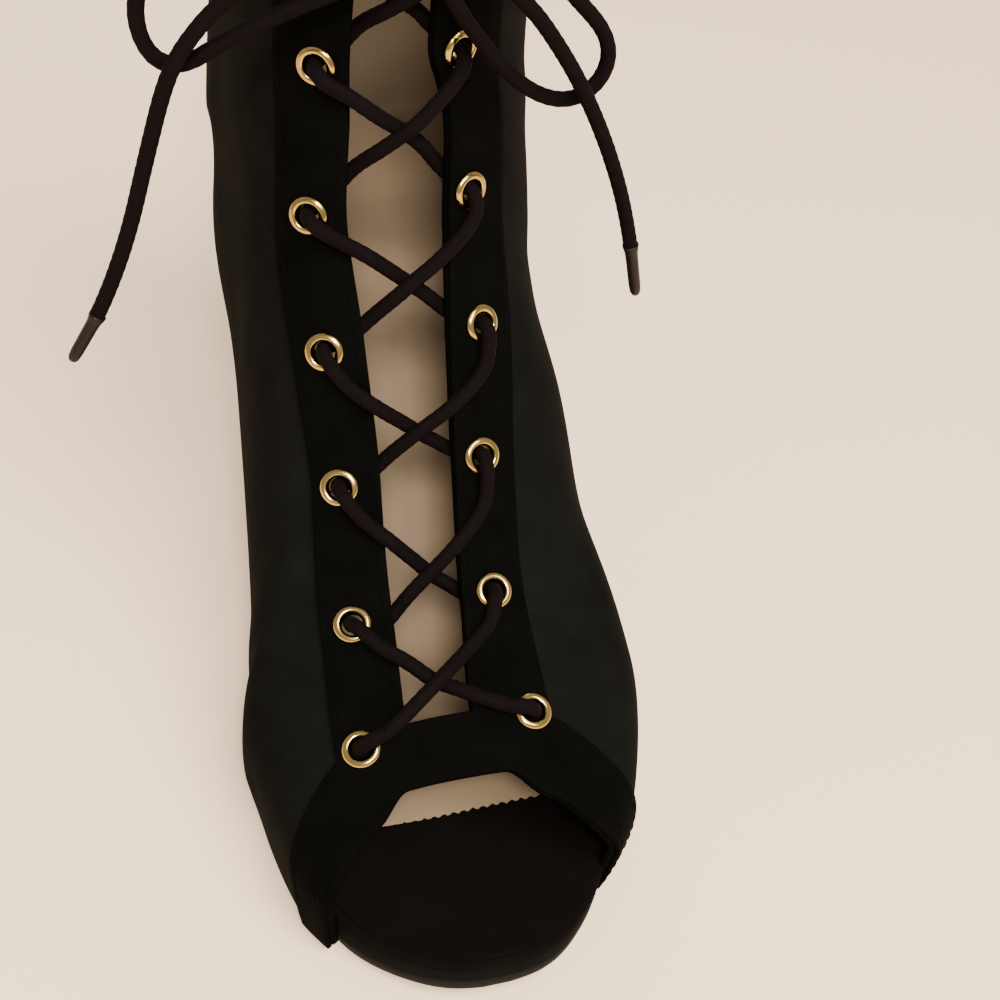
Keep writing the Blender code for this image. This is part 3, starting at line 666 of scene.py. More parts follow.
def add_mesh(
    name: str,
    points: np.ndarray,
    faces: Sequence[Sequence[int]],
    materials: Sequence[bpy.types.Material],
    slots: np.ndarray | None = None,
) -> bpy.types.Object:
    """Make a smooth-shaded object.

    Args:
        name: Its name.
        points: Vertices in millimetres.
        faces: Corner numbers of each face, anticlockwise from outside.
        materials: Its material slots.
        slots: Material number of each face, or None for the first.

    Returns:
        The object, at the origin, with its place in its mesh.
    """
    mesh = bpy.data.meshes.new(name)
    mesh.from_pydata((np.asarray(points, float) * MM).tolist(), [], [list(map(int, f)) for f in faces])
    for material in materials:
        mesh.materials.append(material)
    if slots is not None:
        mesh.polygons.foreach_set("material_index", np.asarray(slots, np.int32))
    mesh.polygons.foreach_set("use_smooth", np.ones(len(mesh.polygons), bool))
    mesh.update()
    made = bpy.data.objects.new(name, mesh)
    bpy.context.scene.collection.objects.link(made)
    return made


def dress(piece: bpy.types.Object, slot: str, *nodes: str) -> bpy.types.Object:
    """Let a piece ride on the boot and hide the nodes it stands for.

    Args:
        piece: The finished piece.
        slot: The record's material slot; not used.
        nodes: The nodes that it replaces.

    Returns:
        The piece.
    """
    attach(piece, "root")
    if nodes:
        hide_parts(*nodes)
    LOG.info("%s: %d faces", piece.name, len(piece.data.polygons))
    return piece


class Side(Enum):
    """Which finish a face of a shell has."""

    OUTSIDE = 0
    INSIDE = 1
    # dark facing, which also stands for painted shade on the inner walls
    FACING = 2


@dataclass
class Shell:
    """A sheet of cells on a grid of points, closed by an inside and a rounded edge."""

    points: np.ndarray
    normals: np.ndarray
    cells: np.ndarray
    outside: float
    inside: float
    bulge: float = 0.35
    edge_steps: int = 5
    joined_rows: np.ndarray | None = None
    inside_slots: np.ndarray | None = None

    def numbering(self) -> np.ndarray:
        """Number the vertices.

        Returns:
            Vertex number of each grid place, with the last column joined to the first where asked.
        """
        rows, columns = self.points.shape[:2]
        numbers = np.arange(rows * columns).reshape(rows, columns)
        if self.joined_rows is not None:
            numbers[self.joined_rows, -1] = numbers[self.joined_rows, 0]
        return numbers

    def border(self, quads: np.ndarray) -> tuple[np.ndarray, np.ndarray]:
        """Find the edges that belong to one face alone.

        Args:
            quads: Corner numbers of each face.

        Returns:
            Those edges, in their face's direction, and the face of each.
        """
        edges = np.concatenate([quads[:, [k, (k + 1) % 4]] for k in range(4)])
        keys = np.sort(edges, axis=1)
        _, first, counts = np.unique(keys, axis=0, return_index=True, return_counts=True)
        single = first[counts == 1]
        return edges[single], single % len(quads)

    def edge_rings(
        self, points: np.ndarray, normals: np.ndarray, border: np.ndarray, rim: np.ndarray
    ) -> list[np.ndarray]:
        """Points of the rounded edge, ring by ring.

        Args:
            points: The sheet's points.
            normals: Their outward directions.
            border: Edges of the border as pairs of point numbers.
            rim: Numbers of the points on the border.

        Returns:
            The rings between the outside and the inside.
        """
        ways = np.zeros_like(points)
        run = unit(points[border[:, 1]] - points[border[:, 0]])
        for end in (0, 1):
            np.add.at(ways, border[:, end], np.cross(run, normals[border[:, end]]))
        away = unit(ways[rim])
        middle, half = (self.outside + self.inside) / 2, (self.outside - self.inside) / 2
        rings = []
        for step in range(1, self.edge_steps):
            turn = np.pi * step / self.edge_steps
            lift = (middle + half * np.cos(turn)) * normals[rim]
            rings.append(points[rim] + lift + self.bulge * np.sin(turn) * away)
        return rings

    def build(self) -> tuple[np.ndarray, list[list[int]], np.ndarray]:
        """Work out the closed shell.

        Returns:
            Its points, its faces and the Side number of each face. The edge is as the outside,
            or as the dark facing with its painted shade where the inside has one.
        """
        numbers = self.numbering()
        i, j = np.nonzero(self.cells)
        corners = (numbers[i, j], numbers[i, j + 1], numbers[i + 1, j + 1], numbers[i + 1, j])
        used, flat = np.unique(np.stack(corners, 1), return_inverse=True)
        quads = flat.reshape(-1, len(corners))
        points = self.points.reshape(-1, 3)[used]
        normals = self.normals.reshape(-1, 3)[used]
        border, owners = self.border(quads)
        rim = np.unique(border)
        stacks = [points + self.outside * normals, points + self.inside * normals]
        stacks += self.edge_rings(points, normals, border, rim)
        inner = np.full(len(quads), Side.INSIDE.value)
        if self.inside_slots is not None:
            inner = self.inside_slots[i, j]
        # edges beside the dark facing take its finish and so its painted shade
        facing_and_shade_edges = inner[owners] == Side.FACING.value
        edge_sides = np.where(facing_and_shade_edges, Side.FACING.value, Side.OUTSIDE.value).tolist()
        count = len(points)
        faces = [*quads.tolist(), *(quads[:, ::-1] + count).tolist()]
        sides = [Side.OUTSIDE.value] * len(quads) + inner.tolist()
        place = np.full(count, -1)
        place[rim] = np.arange(len(rim))
        outer = np.arange(count)
        edge = [2 * count + k * len(rim) + place for k in range(self.edge_steps - 1)]
        rings = [outer, *edge, outer + count]
        start, end = border.T
        for upper, lower in zip(rings, rings[1:]):
            strip = np.stack([upper[end], upper[start], lower[start], lower[end]], 1)
            faces += strip.tolist()
            sides += edge_sides
        return np.concatenate(stacks), faces, np.array(sides)


@dataclass
class PlanGrid:
    """A plan outline crossed by rows from front to back, for the layers of sole and heel."""

    medial: np.ndarray
    lateral: np.ndarray
    columns: int = 14
    sharpest: float = 0.6

    def border(self) -> list[tuple[int, int]]:
        """List the grid places round the outline.

        Returns:
            Row and column of each, anticlockwise seen from above.
        """
        rows, last = len(self.medial), self.columns
        down = [(r, 0) for r in reversed(range(rows))]
        front = [(0, c) for c in range(1, last)]
        up = [(r, last) for r in range(rows)]
        back = [(rows - 1, c) for c in reversed(range(1, last))]
        return down + front + up + back

    def plan(self, inset: float) -> np.ndarray:
        """Plan points of every grid place, with the outline moved inwards.

        Args:
            inset: Distance inwards.

        Returns:
            Points as rows, columns and two coordinates.
        """
        share = np.linspace(0, 1, self.columns + 1)[None, :, None]
        grid = self.medial[:, None] * (1 - share) + self.lateral[:, None] * share
        places = tuple(np.array(self.border()).T)
        outline = grid[places]
        ahead = unit(np.roll(outline, -1, 0) - outline)
        behind = np.roll(ahead, 1, 0)
        left = np.stack([-ahead[:, 1], ahead[:, 0]], 1)
        inward = unit(left + np.stack([-behind[:, 1], behind[:, 0]], 1))
        spread = np.clip(np.sum(inward * left, 1), self.sharpest, 1)
        moved = np.zeros_like(grid)
        moved[places] = outline + inward * (inset / spread)[:, None]
        inner = moved[:, :1] * (1 - share) + moved[:, -1:] * share
        moved[1:-1, 1:-1] = inner[1:-1, 1:-1]
        return moved

    def solid(self, levels: Sequence[np.ndarray]) -> tuple[np.ndarray, list[list[int]]]:
        """Close a stack of levels, lowest first.

        Args:
            levels: Points of each level as rows, columns and three coordinates.

        Returns:
            Points and faces of the solid.
        """
        rows, columns = levels[0].shape[:2]
        numbers = np.arange(rows * columns).reshape(rows, columns)
        places = tuple(np.array(self.border()).T)
        stacks = [levels[0].reshape(-1, 3), levels[-1].reshape(-1, 3)]
        rings = [numbers[places]]
        count = 2 * rows * columns
        for level in levels[1:-1]:
            stacks.append(level[places])
            rings.append(np.arange(len(rings[0])) + count)
            count += len(rings[0])
        rings.append(numbers[places] + rows * columns)
        a, b = numbers[:-1, :-1].ravel(), numbers[:-1, 1:].ravel()
        c, d = numbers[1:, 1:].ravel(), numbers[1:, :-1].ravel()
        faces = np.stack([d, c, b, a], 1).tolist()
        faces += (np.stack([a, b, c, d], 1) + rows * columns).tolist()
        for low, high in zip(rings, rings[1:]):
            faces += np.stack([low, np.roll(low, -1), np.roll(high, -1), high], 1).tolist()
        return np.concatenate(stacks), faces


# Upper and front band


@dataclass
class Eyelets:
    """Gold eyelets: seven rows of two, pressed through band and upper."""

    rows: Table = Table(
        ("medial_number", "medial", "lateral_number", "lateral"),
        (
            (1.25, -22.0, 1.27, 16.2),
            (1.92, -19.3, 1.96, 13.0),
            (2.88, -19.6, 2.92, 13.2),
            (3.89, -21.1, 3.98, 14.8),
            (4.96, -22.8, 5.08, 13.4),
            (8.55, -21.0, 8.92, 9.1),
            (11.03, -21.2, 11.08, 8.9),
        ),
    )
    seat: float = 1.3
    cut: float = 3.35
    sides: int = 40
    outline: tuple[Place, ...] = (
        (2.45, -4.2), (2.78, -4.2), (2.85, -0.3), (3.2, 0.0), (4.25, 0.02), (4.32, 0.22), (4.22, 0.55),
        (3.95, 0.88), (3.55, 1.1), (3.15, 1.14), (2.78, 1.0), (2.52, 0.66), (2.42, 0.1), (2.4, -2.0),
    )

    @property
    def count(self) -> int:
        """Number of rows."""
        return len(self.rows.rows)

    def place(self, row: int, side: Flank) -> Place:
        """Section number and distance of one eyelet.

        Args:
            row: Its row, counted from 1 at the toe.
            side: Its side of the boot.

        Returns:
            Where it sits on the last.
        """
        values = dict(zip(self.rows.columns, self.rows.rows[row - 1]))
        return values[side + "_number"], values[side]

    def places(self) -> list[tuple[str, float, float]]:
        """List every eyelet.

        Returns:
            Node name, section number and distance of each.
        """
        return [
            (f"eyelet_{side}_{row}", *self.place(row, side))
            for row in range(1, self.count + 1)
            for side in Flank
        ]

    def centres(self, last: Last) -> np.ndarray:
        """Points of the upper's outside under every eyelet."""
        _, numbers, distances = zip(*self.places())
        return last.raised(np.array(numbers), np.array(distances), 0.0)

    def ring(self, material: bpy.types.Material) -> bpy.types.Object:
        """Turn one eyelet about its own axis.

        Args:
            material: Its metal.

        Returns:
            A helper object that the node tree copies.
        """
        turns = 2 * np.pi * np.arange(self.sides) / self.sides
        points = [
            (radius * np.cos(turn), radius * np.sin(turn), height)
            for turn in turns
            for radius, height in self.outline
        ]
        count = len(self.outline)
        faces = []
        for k in range(self.sides):
            nxt = (k + 1) % self.sides
            for i in range(count):
                j = (i + 1) % count
                faces.append((k * count + i, nxt * count + i, nxt * count + j, k * count + j))
        return add_mesh("eyelet_shape", np.array(points), faces, [material])

    def build(self, last: Last) -> bpy.types.Object:
        """Set every eyelet on the band.

        Args:
            last: The boot's form.

        Returns:
            One piece with all eyelets.
        """
        material = GOLD.material()
        names, numbers, distances = zip(*self.places())
        numbers, distances = np.array(numbers), np.array(distances)
        seats = last.raised(numbers, distances, self.seat)
        carrier = add_mesh("eyelets", seats, [], [material])
        way = carrier.data.attributes.new("way", "FLOAT_VECTOR", "POINT")
        way.data.foreach_set("vector", last.normals(numbers, distances).ravel())
        shape = self.ring(material)
        piece = run_tree(carrier, copies_tree(), {"Shape": shape, "Finish": material})
        bpy.data.objects.remove(shape, do_unlink=True)
        return dress(piece, "eyelet_gold", *names)


@dataclass
class ShellGrid:
    """Grid over the whole upper, from the peep's rim to the collar and from side to side."""

    last: Last
    side_cells: int = 44
    stay_cells: int = 15
    throat_cells: int = 14
    band_rows: int = 24
    row_length: float = 1.3
    throat_line: float = -3.5
    throat_number: float = 1.305
    level_number: float = 3.1

    def __post_init__(self) -> None:
        """Lay out section numbers, distances, points and outward directions."""
        self.numbers = self.row_numbers()
        self.distances = self.strip_distances(self.numbers)
        self.points = self.last.raised(self.numbers, self.distances, 0.0)
        self.normals = self.last.normals(self.numbers, self.distances)
        self.closed = self.numbers[:, 0] >= self.last.back_number - TINY
        back = unit(self.normals[self.closed, 0] + self.normals[self.closed, -1])
        for column in (0, -1):
            self.normals[self.closed, column] = back
        middle = (self.points[self.closed, 0] + self.points[self.closed, -1]) / 2
        self.points[self.closed, 0] = self.points[self.closed, -1] = middle

    def strips(self) -> tuple[np.ndarray, np.ndarray]:
        """Share the columns out to the five strips.

        Returns:
            Strip number of each column, and its share of the way across the strip.
        """
        cells = (self.side_cells, self.stay_cells, self.throat_cells, self.stay_cells, self.side_cells)
        strip = np.concatenate([*(np.full(n, k) for k, n in enumerate(cells)), [len(cells) - 1]])
        share = np.concatenate([*(np.arange(n) / n for n in cells), [1.0]])
        return strip.astype(int), share

    def strip_distances(self, numbers: np.ndarray) -> np.ndarray:
        """Work out how far round its section each grid place is.

        Args:
            numbers: Section number of each grid place.

        Returns:
            Distances from the ridge, medial minus.
        """
        low, high = self.last.reach(numbers)
        stops = np.stack([low, *(STAYS.at(name, numbers) for name in STAYS.columns[1:]), high])
        strip, share = self.strips()
        columns = np.arange(numbers.shape[1])
        start, end = stops[strip, :, columns].T, stops[strip + 1, :, columns].T
        return start + (end - start) * share[None, :]

    def row_numbers(self) -> np.ndarray:
        """Lay the rows, level at the collar and along the rim at the peep.

        Returns:
            Section number of each grid place.
        """
        count = len(self.strips()[0])
        level = np.full((1, count), self.throat_number)
        reach = np.abs(self.strip_distances(level)[0] - self.throat_line)
        rim, band = RIM.at("rim", reach), RIM.at("band", reach)
        shares = np.arange(self.band_rows)[:, None] / self.band_rows
        lower = rim + (band - rim) * shares
        ends = [self.throat_number, self.last.back_number, self.last.numbers[-1]]
        lengths = [float(self.last.along_ridge(n)) for n in ends]
        rows = []
        for start, end in zip(lengths, lengths[1:]):
            steps = round((end - start) / self.row_length)
            rows += list(np.linspace(start, end, steps, endpoint=False))
        above = np.append(self.last.at_length(np.array(rows)), ends[-1])
        above[np.argmin(np.abs(above - self.last.back_number))] = self.last.back_number
        fade = np.clip((self.level_number - above) / (self.level_number - self.throat_number), 0, 1)
        shift = (band - self.throat_number)[None] * fade[:, None]
        return np.concatenate([lower, above[:, None] + shift])

    def column_range(self, first: int, last: int) -> np.ndarray:
        """Which cell columns belong to the strips from first to last."""
        strip = self.strips()[0][:-1]
        return (strip >= first) & (strip <= last)

    def cells(self, band: bool, holes: np.ndarray, hole_radius: float) -> np.ndarray:
        """Choose the cells of one piece.

        Args:
            band: True for the front band, False for the whole upper.
            holes: Middles of the eyelet holes.
            hole_radius: Their radius.

        Returns:
            True for each cell that the piece has.
        """
        rows = self.points.shape[0] - 1
        kept = np.ones((rows, self.points.shape[1] - 1), bool)
        above = np.arange(rows) >= self.band_rows
        kept[np.ix_(above, self.column_range(2, 2))] = False
        if band:
            kept[np.ix_(above, ~self.column_range(1, 3))] = False
        middles = (self.points[:-1, :-1] + self.points[1:, 1:]) / 2
        for hole in holes:
            kept &= np.linalg.norm(middles - hole, axis=2) > hole_radius
        return kept


@dataclass
class Upper:
    """Suede upper with its beige lining and dark facings that also serve as painted shade, open at
    collar, throat, peep and sole.
    """

    grid: ShellGrid
    eyelets: Eyelets
    wall: float = 2.0
    # how far past the throat's edge the dark facing reaches, painting the shade on the inner wall
    facing: float = 30.0

    def inside_slots(self) -> np.ndarray:
        """Choose dark facing, which also serves as painted shade, near the throat and the peep, and
        beige lining elsewhere.

        Returns:
            Side number of each cell's inside.
        """
        numbers, distances = self.grid.numbers[:-1, :-1], self.grid.distances[:-1, :-1]
        edge = np.where(
            distances < 0, STAYS.at("throat_medial", numbers), STAYS.at("throat_lateral", numbers)
        )
        # painted shade: inner walls near the throat and along all band rows round the peep get the dark
        # facing where they lie in shade
        near = np.abs(distances) < np.abs(edge) + self.facing
        near[: self.grid.band_rows] = True
        return np.where(near, Side.FACING.value, Side.INSIDE.value)

    def build(self) -> bpy.types.Object:
        """Make the upper.

        Returns:
            The piece.
        """
        holes = self.eyelets.centres(self.grid.last)
        cells = self.grid.cells(False, holes, self.eyelets.cut)
        shell = Shell(
            self.grid.points, self.grid.normals, cells, 0.0, -self.wall, joined_rows=self.grid.closed,
            inside_slots=self.inside_slots(),
        )
        points, faces, sides = shell.build()
        materials = [SUEDE.material(), SHADED_LINING.material(), BAND_SUEDE.material()]
        piece = add_mesh("upper_suede", points, faces, materials, sides)
        return dress(piece, "suede", "upper")


@dataclass
class FrontBand:
    """Darker band: two eyestays, the bridge under the throat and both sides of the peep."""

    grid: ShellGrid
    eyelets: Eyelets
    outside: float = 1.3
    inside: float = 0.05

    def build(self) -> bpy.types.Object:
        """Make the band.

        Returns:
            The piece.
        """
        holes = self.eyelets.centres(self.grid.last)
        cells = self.grid.cells(True, holes, self.eyelets.cut)
        shell = Shell(self.grid.points, self.grid.normals, cells, self.outside, self.inside, bulge=0.3)
        points, faces, _ = shell.build()
        piece = add_mesh("front_band_suede", points, faces, [BAND_SUEDE.material()])
        return dress(piece, "band_suede", "front_band")


# Node trees


def new_tree(name: str, inputs: dict[str, str]) -> bpy.types.GeometryNodeTree:
    """Start a node tree with one geometry in and out.

    Args:
        name: The tree's name.
        inputs: Socket type of each further named input.

    Returns:
        The tree with its group input and output nodes.
    """
    tree = bpy.data.node_groups.new(name, "GeometryNodeTree")
    tree.interface.new_socket("Geometry", in_out="INPUT", socket_type="NodeSocketGeometry")
    for title, kind in inputs.items():
        tree.interface.new_socket(title, in_out="INPUT", socket_type=kind)
    tree.interface.new_socket("Geometry", in_out="OUTPUT", socket_type="NodeSocketGeometry")
    tree.nodes.new("NodeGroupInput")
    tree.nodes.new("NodeGroupOutput")
    return tree


def close_tree(tree: bpy.types.GeometryNodeTree, instances: bpy.types.NodeSocket) -> None:
    """End a tree in real geometry with its finish.

    Args:
        tree: The tree.
        instances: The socket with the copies.
    """
    real = tree.nodes.new("GeometryNodeRealizeInstances")
    finish = tree.nodes.new("GeometryNodeSetMaterial")
    start, end = tree.nodes["Group Input"], tree.nodes["Group Output"]
    tree.links.new(instances, real.inputs["Geometry"])
    tree.links.new(real.outputs["Geometry"], finish.inputs["Geometry"])
    tree.links.new(start.outputs["Finish"], finish.inputs["Material"])
    tree.links.new(finish.outputs["Geometry"], end.inputs["Geometry"])


def copies_tree() -> bpy.types.GeometryNodeTree:
    """Tree that sets a copy of a shape on every vertex, turned along its attribute way.

    Returns:
        The tree, with inputs Shape and Finish.
    """
    tree = new_tree("copies", {"Shape": "NodeSocketObject", "Finish": "NodeSocketMaterial"})
    nodes, links = tree.nodes, tree.links
    start = nodes["Group Input"]
    way = nodes.new("GeometryNodeInputNamedAttribute")
    way.data_type = "FLOAT_VECTOR"
    way.inputs["Name"].default_value = "way"
    turn = nodes.new("FunctionNodeAlignRotationToVector")
    turn.axis = "Z"
    shape = nodes.new("GeometryNodeObjectInfo")
    copies = nodes.new("GeometryNodeInstanceOnPoints")
    links.new(way.outputs["Attribute"], turn.inputs["Vector"])
    links.new(start.outputs["Shape"], shape.inputs["Object"])
    links.new(start.outputs["Geometry"], copies.inputs["Points"])
    links.new(shape.outputs["Geometry"], copies.inputs["Instance"])
    links.new(turn.outputs["Rotation"], copies.inputs["Rotation"])
    close_tree(tree, copies.outputs["Instances"])
    return tree


BEAD = {"Segments": 6, "Rings": 5, "Radius": 0.5}


def stitch_tree() -> bpy.types.GeometryNodeTree:
    """Tree that runs stitches along a curve.

    Returns:
        The tree, with inputs Pitch, Length, Thickness and Finish.
    """
    tree = new_tree(
        "stitches",
        {
            "Pitch": "NodeSocketFloat", "Length": "NodeSocketFloat", "Thickness": "NodeSocketFloat",
            "Finish": "NodeSocketMaterial",
        },
    )
    nodes, links = tree.nodes, tree.links
    start = nodes["Group Input"]
    steps = nodes.new("GeometryNodeCurveToPoints")
    steps.mode = "LENGTH"
    bead = nodes.new("GeometryNodeMeshUVSphere")
    for title, value in BEAD.items():
        bead.inputs[title].default_value = value
    size = nodes.new("ShaderNodeCombineXYZ")
    shape = nodes.new("GeometryNodeTransform")
    copies = nodes.new("GeometryNodeInstanceOnPoints")
    for axis, title in (("X", "Thickness"), ("Y", "Thickness"), ("Z", "Length")):
        links.new(start.outputs[title], size.inputs[axis])
    links.new(start.outputs["Geometry"], steps.inputs["Curve"])
    links.new(start.outputs["Pitch"], steps.inputs["Length"])
    links.new(bead.outputs["Mesh"], shape.inputs["Geometry"])
    links.new(size.outputs["Vector"], shape.inputs["Scale"])
    links.new(steps.outputs["Points"], copies.inputs["Points"])
    links.new(steps.outputs["Rotation"], copies.inputs["Rotation"])
    links.new(shape.outputs["Geometry"], copies.inputs["Instance"])
    close_tree(tree, copies.outputs["Instances"])
    return tree


def run_tree(
    carrier: bpy.types.Object, tree: bpy.types.GeometryNodeTree, values: dict[str, object]
) -> bpy.types.Object:
    """Run a tree on an object and keep its result as a plain mesh.

    Args:
        carrier: The object with the points or curves; it is removed.
        tree: The tree.
        values: Value of each named input.

    Returns:
        A new object with the carrier's name.
    """
    modifier = carrier.modifiers.new(tree.name, "NODES")
    modifier.node_group = tree
    for item in tree.interface.items_tree:
        if item.in_out == "INPUT" and item.name in values:
            modifier[item.identifier] = values[item.name]
    bpy.context.view_layer.update()
    graph = bpy.context.evaluated_depsgraph_get()
    mesh = bpy.data.meshes.new_from_object(carrier.evaluated_get(graph))
    name = carrier.name
    carrier.modifiers.remove(modifier)
    bpy.data.objects.remove(carrier, do_unlink=True)
    mesh.polygons.foreach_set("use_smooth", np.ones(len(mesh.polygons), bool))
    mesh.name = name
    made = bpy.data.objects.new(name, mesh)
    bpy.context.scene.collection.objects.link(made)
    return made


# Stitching


@dataclass
class Stitching:
    """Rows of black stitches along the band's edges, the peep and the collar."""

    grid: ShellGrid
    pitch: float = 2.9
    length: float = 2.3
    thickness: float = 0.5
    from_edge: float = 1.7
    band_height: float = 1.27
    upper_height: float = 0.0
    collar_gap: float = 3.0
    lowest: float = 1.40
    highest: float = 11.93
    stay_points: int = 120
    collar_points: int = 70
    free_columns: int = 2

    def up_the_stays(self) -> Iterable[np.ndarray]:
        """Lay the rows along both edges of both eyestays.

        Returns:
            Points of each row.
        """
        numbers = np.linspace(self.lowest, self.highest, self.stay_points)
        inwards = {"stay_medial": 1, "throat_medial": -1, "throat_lateral": 1, "stay_lateral": -1}
        for edge, way in inwards.items():
            distances = STAYS.at(edge, numbers) + way * self.from_edge
            yield self.grid.last.raised(numbers, distances, self.band_height)

    def beside_row(self, row: int, next_row: int) -> np.ndarray:
        """Lay points on the band beside one row of the grid.

        Args:
            row: The row, at the band's edge.
            next_row: The row on the side where the points lie.

        Returns:
            Points at the stitches' distance from the edge.
        """
        edge, other = (
            self.grid.points[k] + self.band_height * self.grid.normals[k] for k in (row, next_row)
        )
        share = self.from_edge / np.linalg.norm(other - edge, axis=1)
        return edge + (other - edge) * share[:, None]

    def round_the_peep(self) -> Iterable[np.ndarray]:
        """Lay the rows along the peep's rim and along the band's upper edge on both sides.

        Returns:
            Points of each row.
        """
        free, side, top = self.free_columns, self.grid.side_cells, self.grid.band_rows
        yield self.beside_row(0, 1)[free:-free]
        high = self.beside_row(top, top - 1)
        yield high[free:side]
        yield high[-side:-free]

    def round_the_collar(self) -> Iterable[np.ndarray]:
        """Lay the row under the collar's edge, from each eyestay to the middle of the back.

        Returns:
            Points of its two halves.
        """
        last = self.grid.last
        number = last.at_length(last.ridge[-1] - self.collar_gap)
        low, high = last.reach(number)
        for start, end in (("stay_medial", low), ("stay_lateral", high)):
            distances = np.linspace(float(STAYS.at(start, number)), float(end), self.collar_points)
            yield last.raised(np.full_like(distances, float(number)), distances, self.upper_height)

    def build(self) -> bpy.types.Object:
        """Sew all rows.

        Returns:
            One piece with all stitches.
        """
        curve = bpy.data.curves.new("stitches", "CURVE")
        curve.dimensions = "3D"
        for rows in (self.up_the_stays(), self.round_the_peep(), self.round_the_collar()):
            for row in rows:
                spline = curve.splines.new("POLY")
                spline.points.add(len(row) - 1)
                spline.points.foreach_set("co", np.c_[row * MM, np.ones(len(row))].ravel())
        carrier = bpy.data.objects.new("stitches", curve)
        bpy.context.scene.collection.objects.link(carrier)
        sizes = {"Pitch": self.pitch, "Length": self.length, "Thickness": self.thickness}
        values = {title: size * MM for title, size in sizes.items()}
        piece = run_tree(carrier, stitch_tree(), {**values, "Finish": THREAD.material()})
        return dress(piece, "lace_cord")


# Sole and heel


PROFILE = Table(
    ("y", "tread", "footbed"),
    (
        (-53.6, 3.8, 13.6),
        (-40.0, 1.6, 11.6),
        (-27.0, 0.2, 10.9),
        (-21.0, 0.0, 10.8),
        (17.0, 0.0, 10.8),
        (28.0, 1.8, 13.2),
        (45.0, 9.5, 21.0),
        (70.0, 29.0, 41.0),
        (95.0, 49.8, 61.8),
        (121.0, 69.0, 79.8),
        (143.0, 79.5, 88.8),
        (169.0, 85.6, 94.8),
    ),
)
TOE = Table(
    ("y", "medial", "lateral"),
    (
        (-53.6, -4.4, 1.6),
        (-52.9, -9.6, 7.6),
        (-51.0, -14.4, 12.4),
        (-47.8, -19.2, 16.8),
        (-43.9, -23.8, 20.6),
        (-39.7, -27.6, 24.4),
        (-35.8, -30.3, 27.2),
    ),
)


def rounded_back(sides: list[np.ndarray], share: float, reach: float) -> list[np.ndarray]:
    """Round off the back between two side outlines.

    Args:
        sides: Medial and lateral plan outline, front to back.
        share: Half width left at the back, as a share of the sides' last width.
        reach: How far the back stands behind them.

    Returns:
        The two outlines, one point longer.
    """
    middle = (sides[0][-1] + sides[1][-1]) / 2
    return [np.vstack([side, middle + share * (side[-1] - middle) + [0, reach]]) for side in sides]


@dataclass(frozen=True)
class Layer:
    """One layer of the sole, with its levels from below as inset and height."""

    name: str
    finish: Finish
    slot: str
    node: str
    levels: tuple[tuple[float, Height], ...]
    fine: bool = False


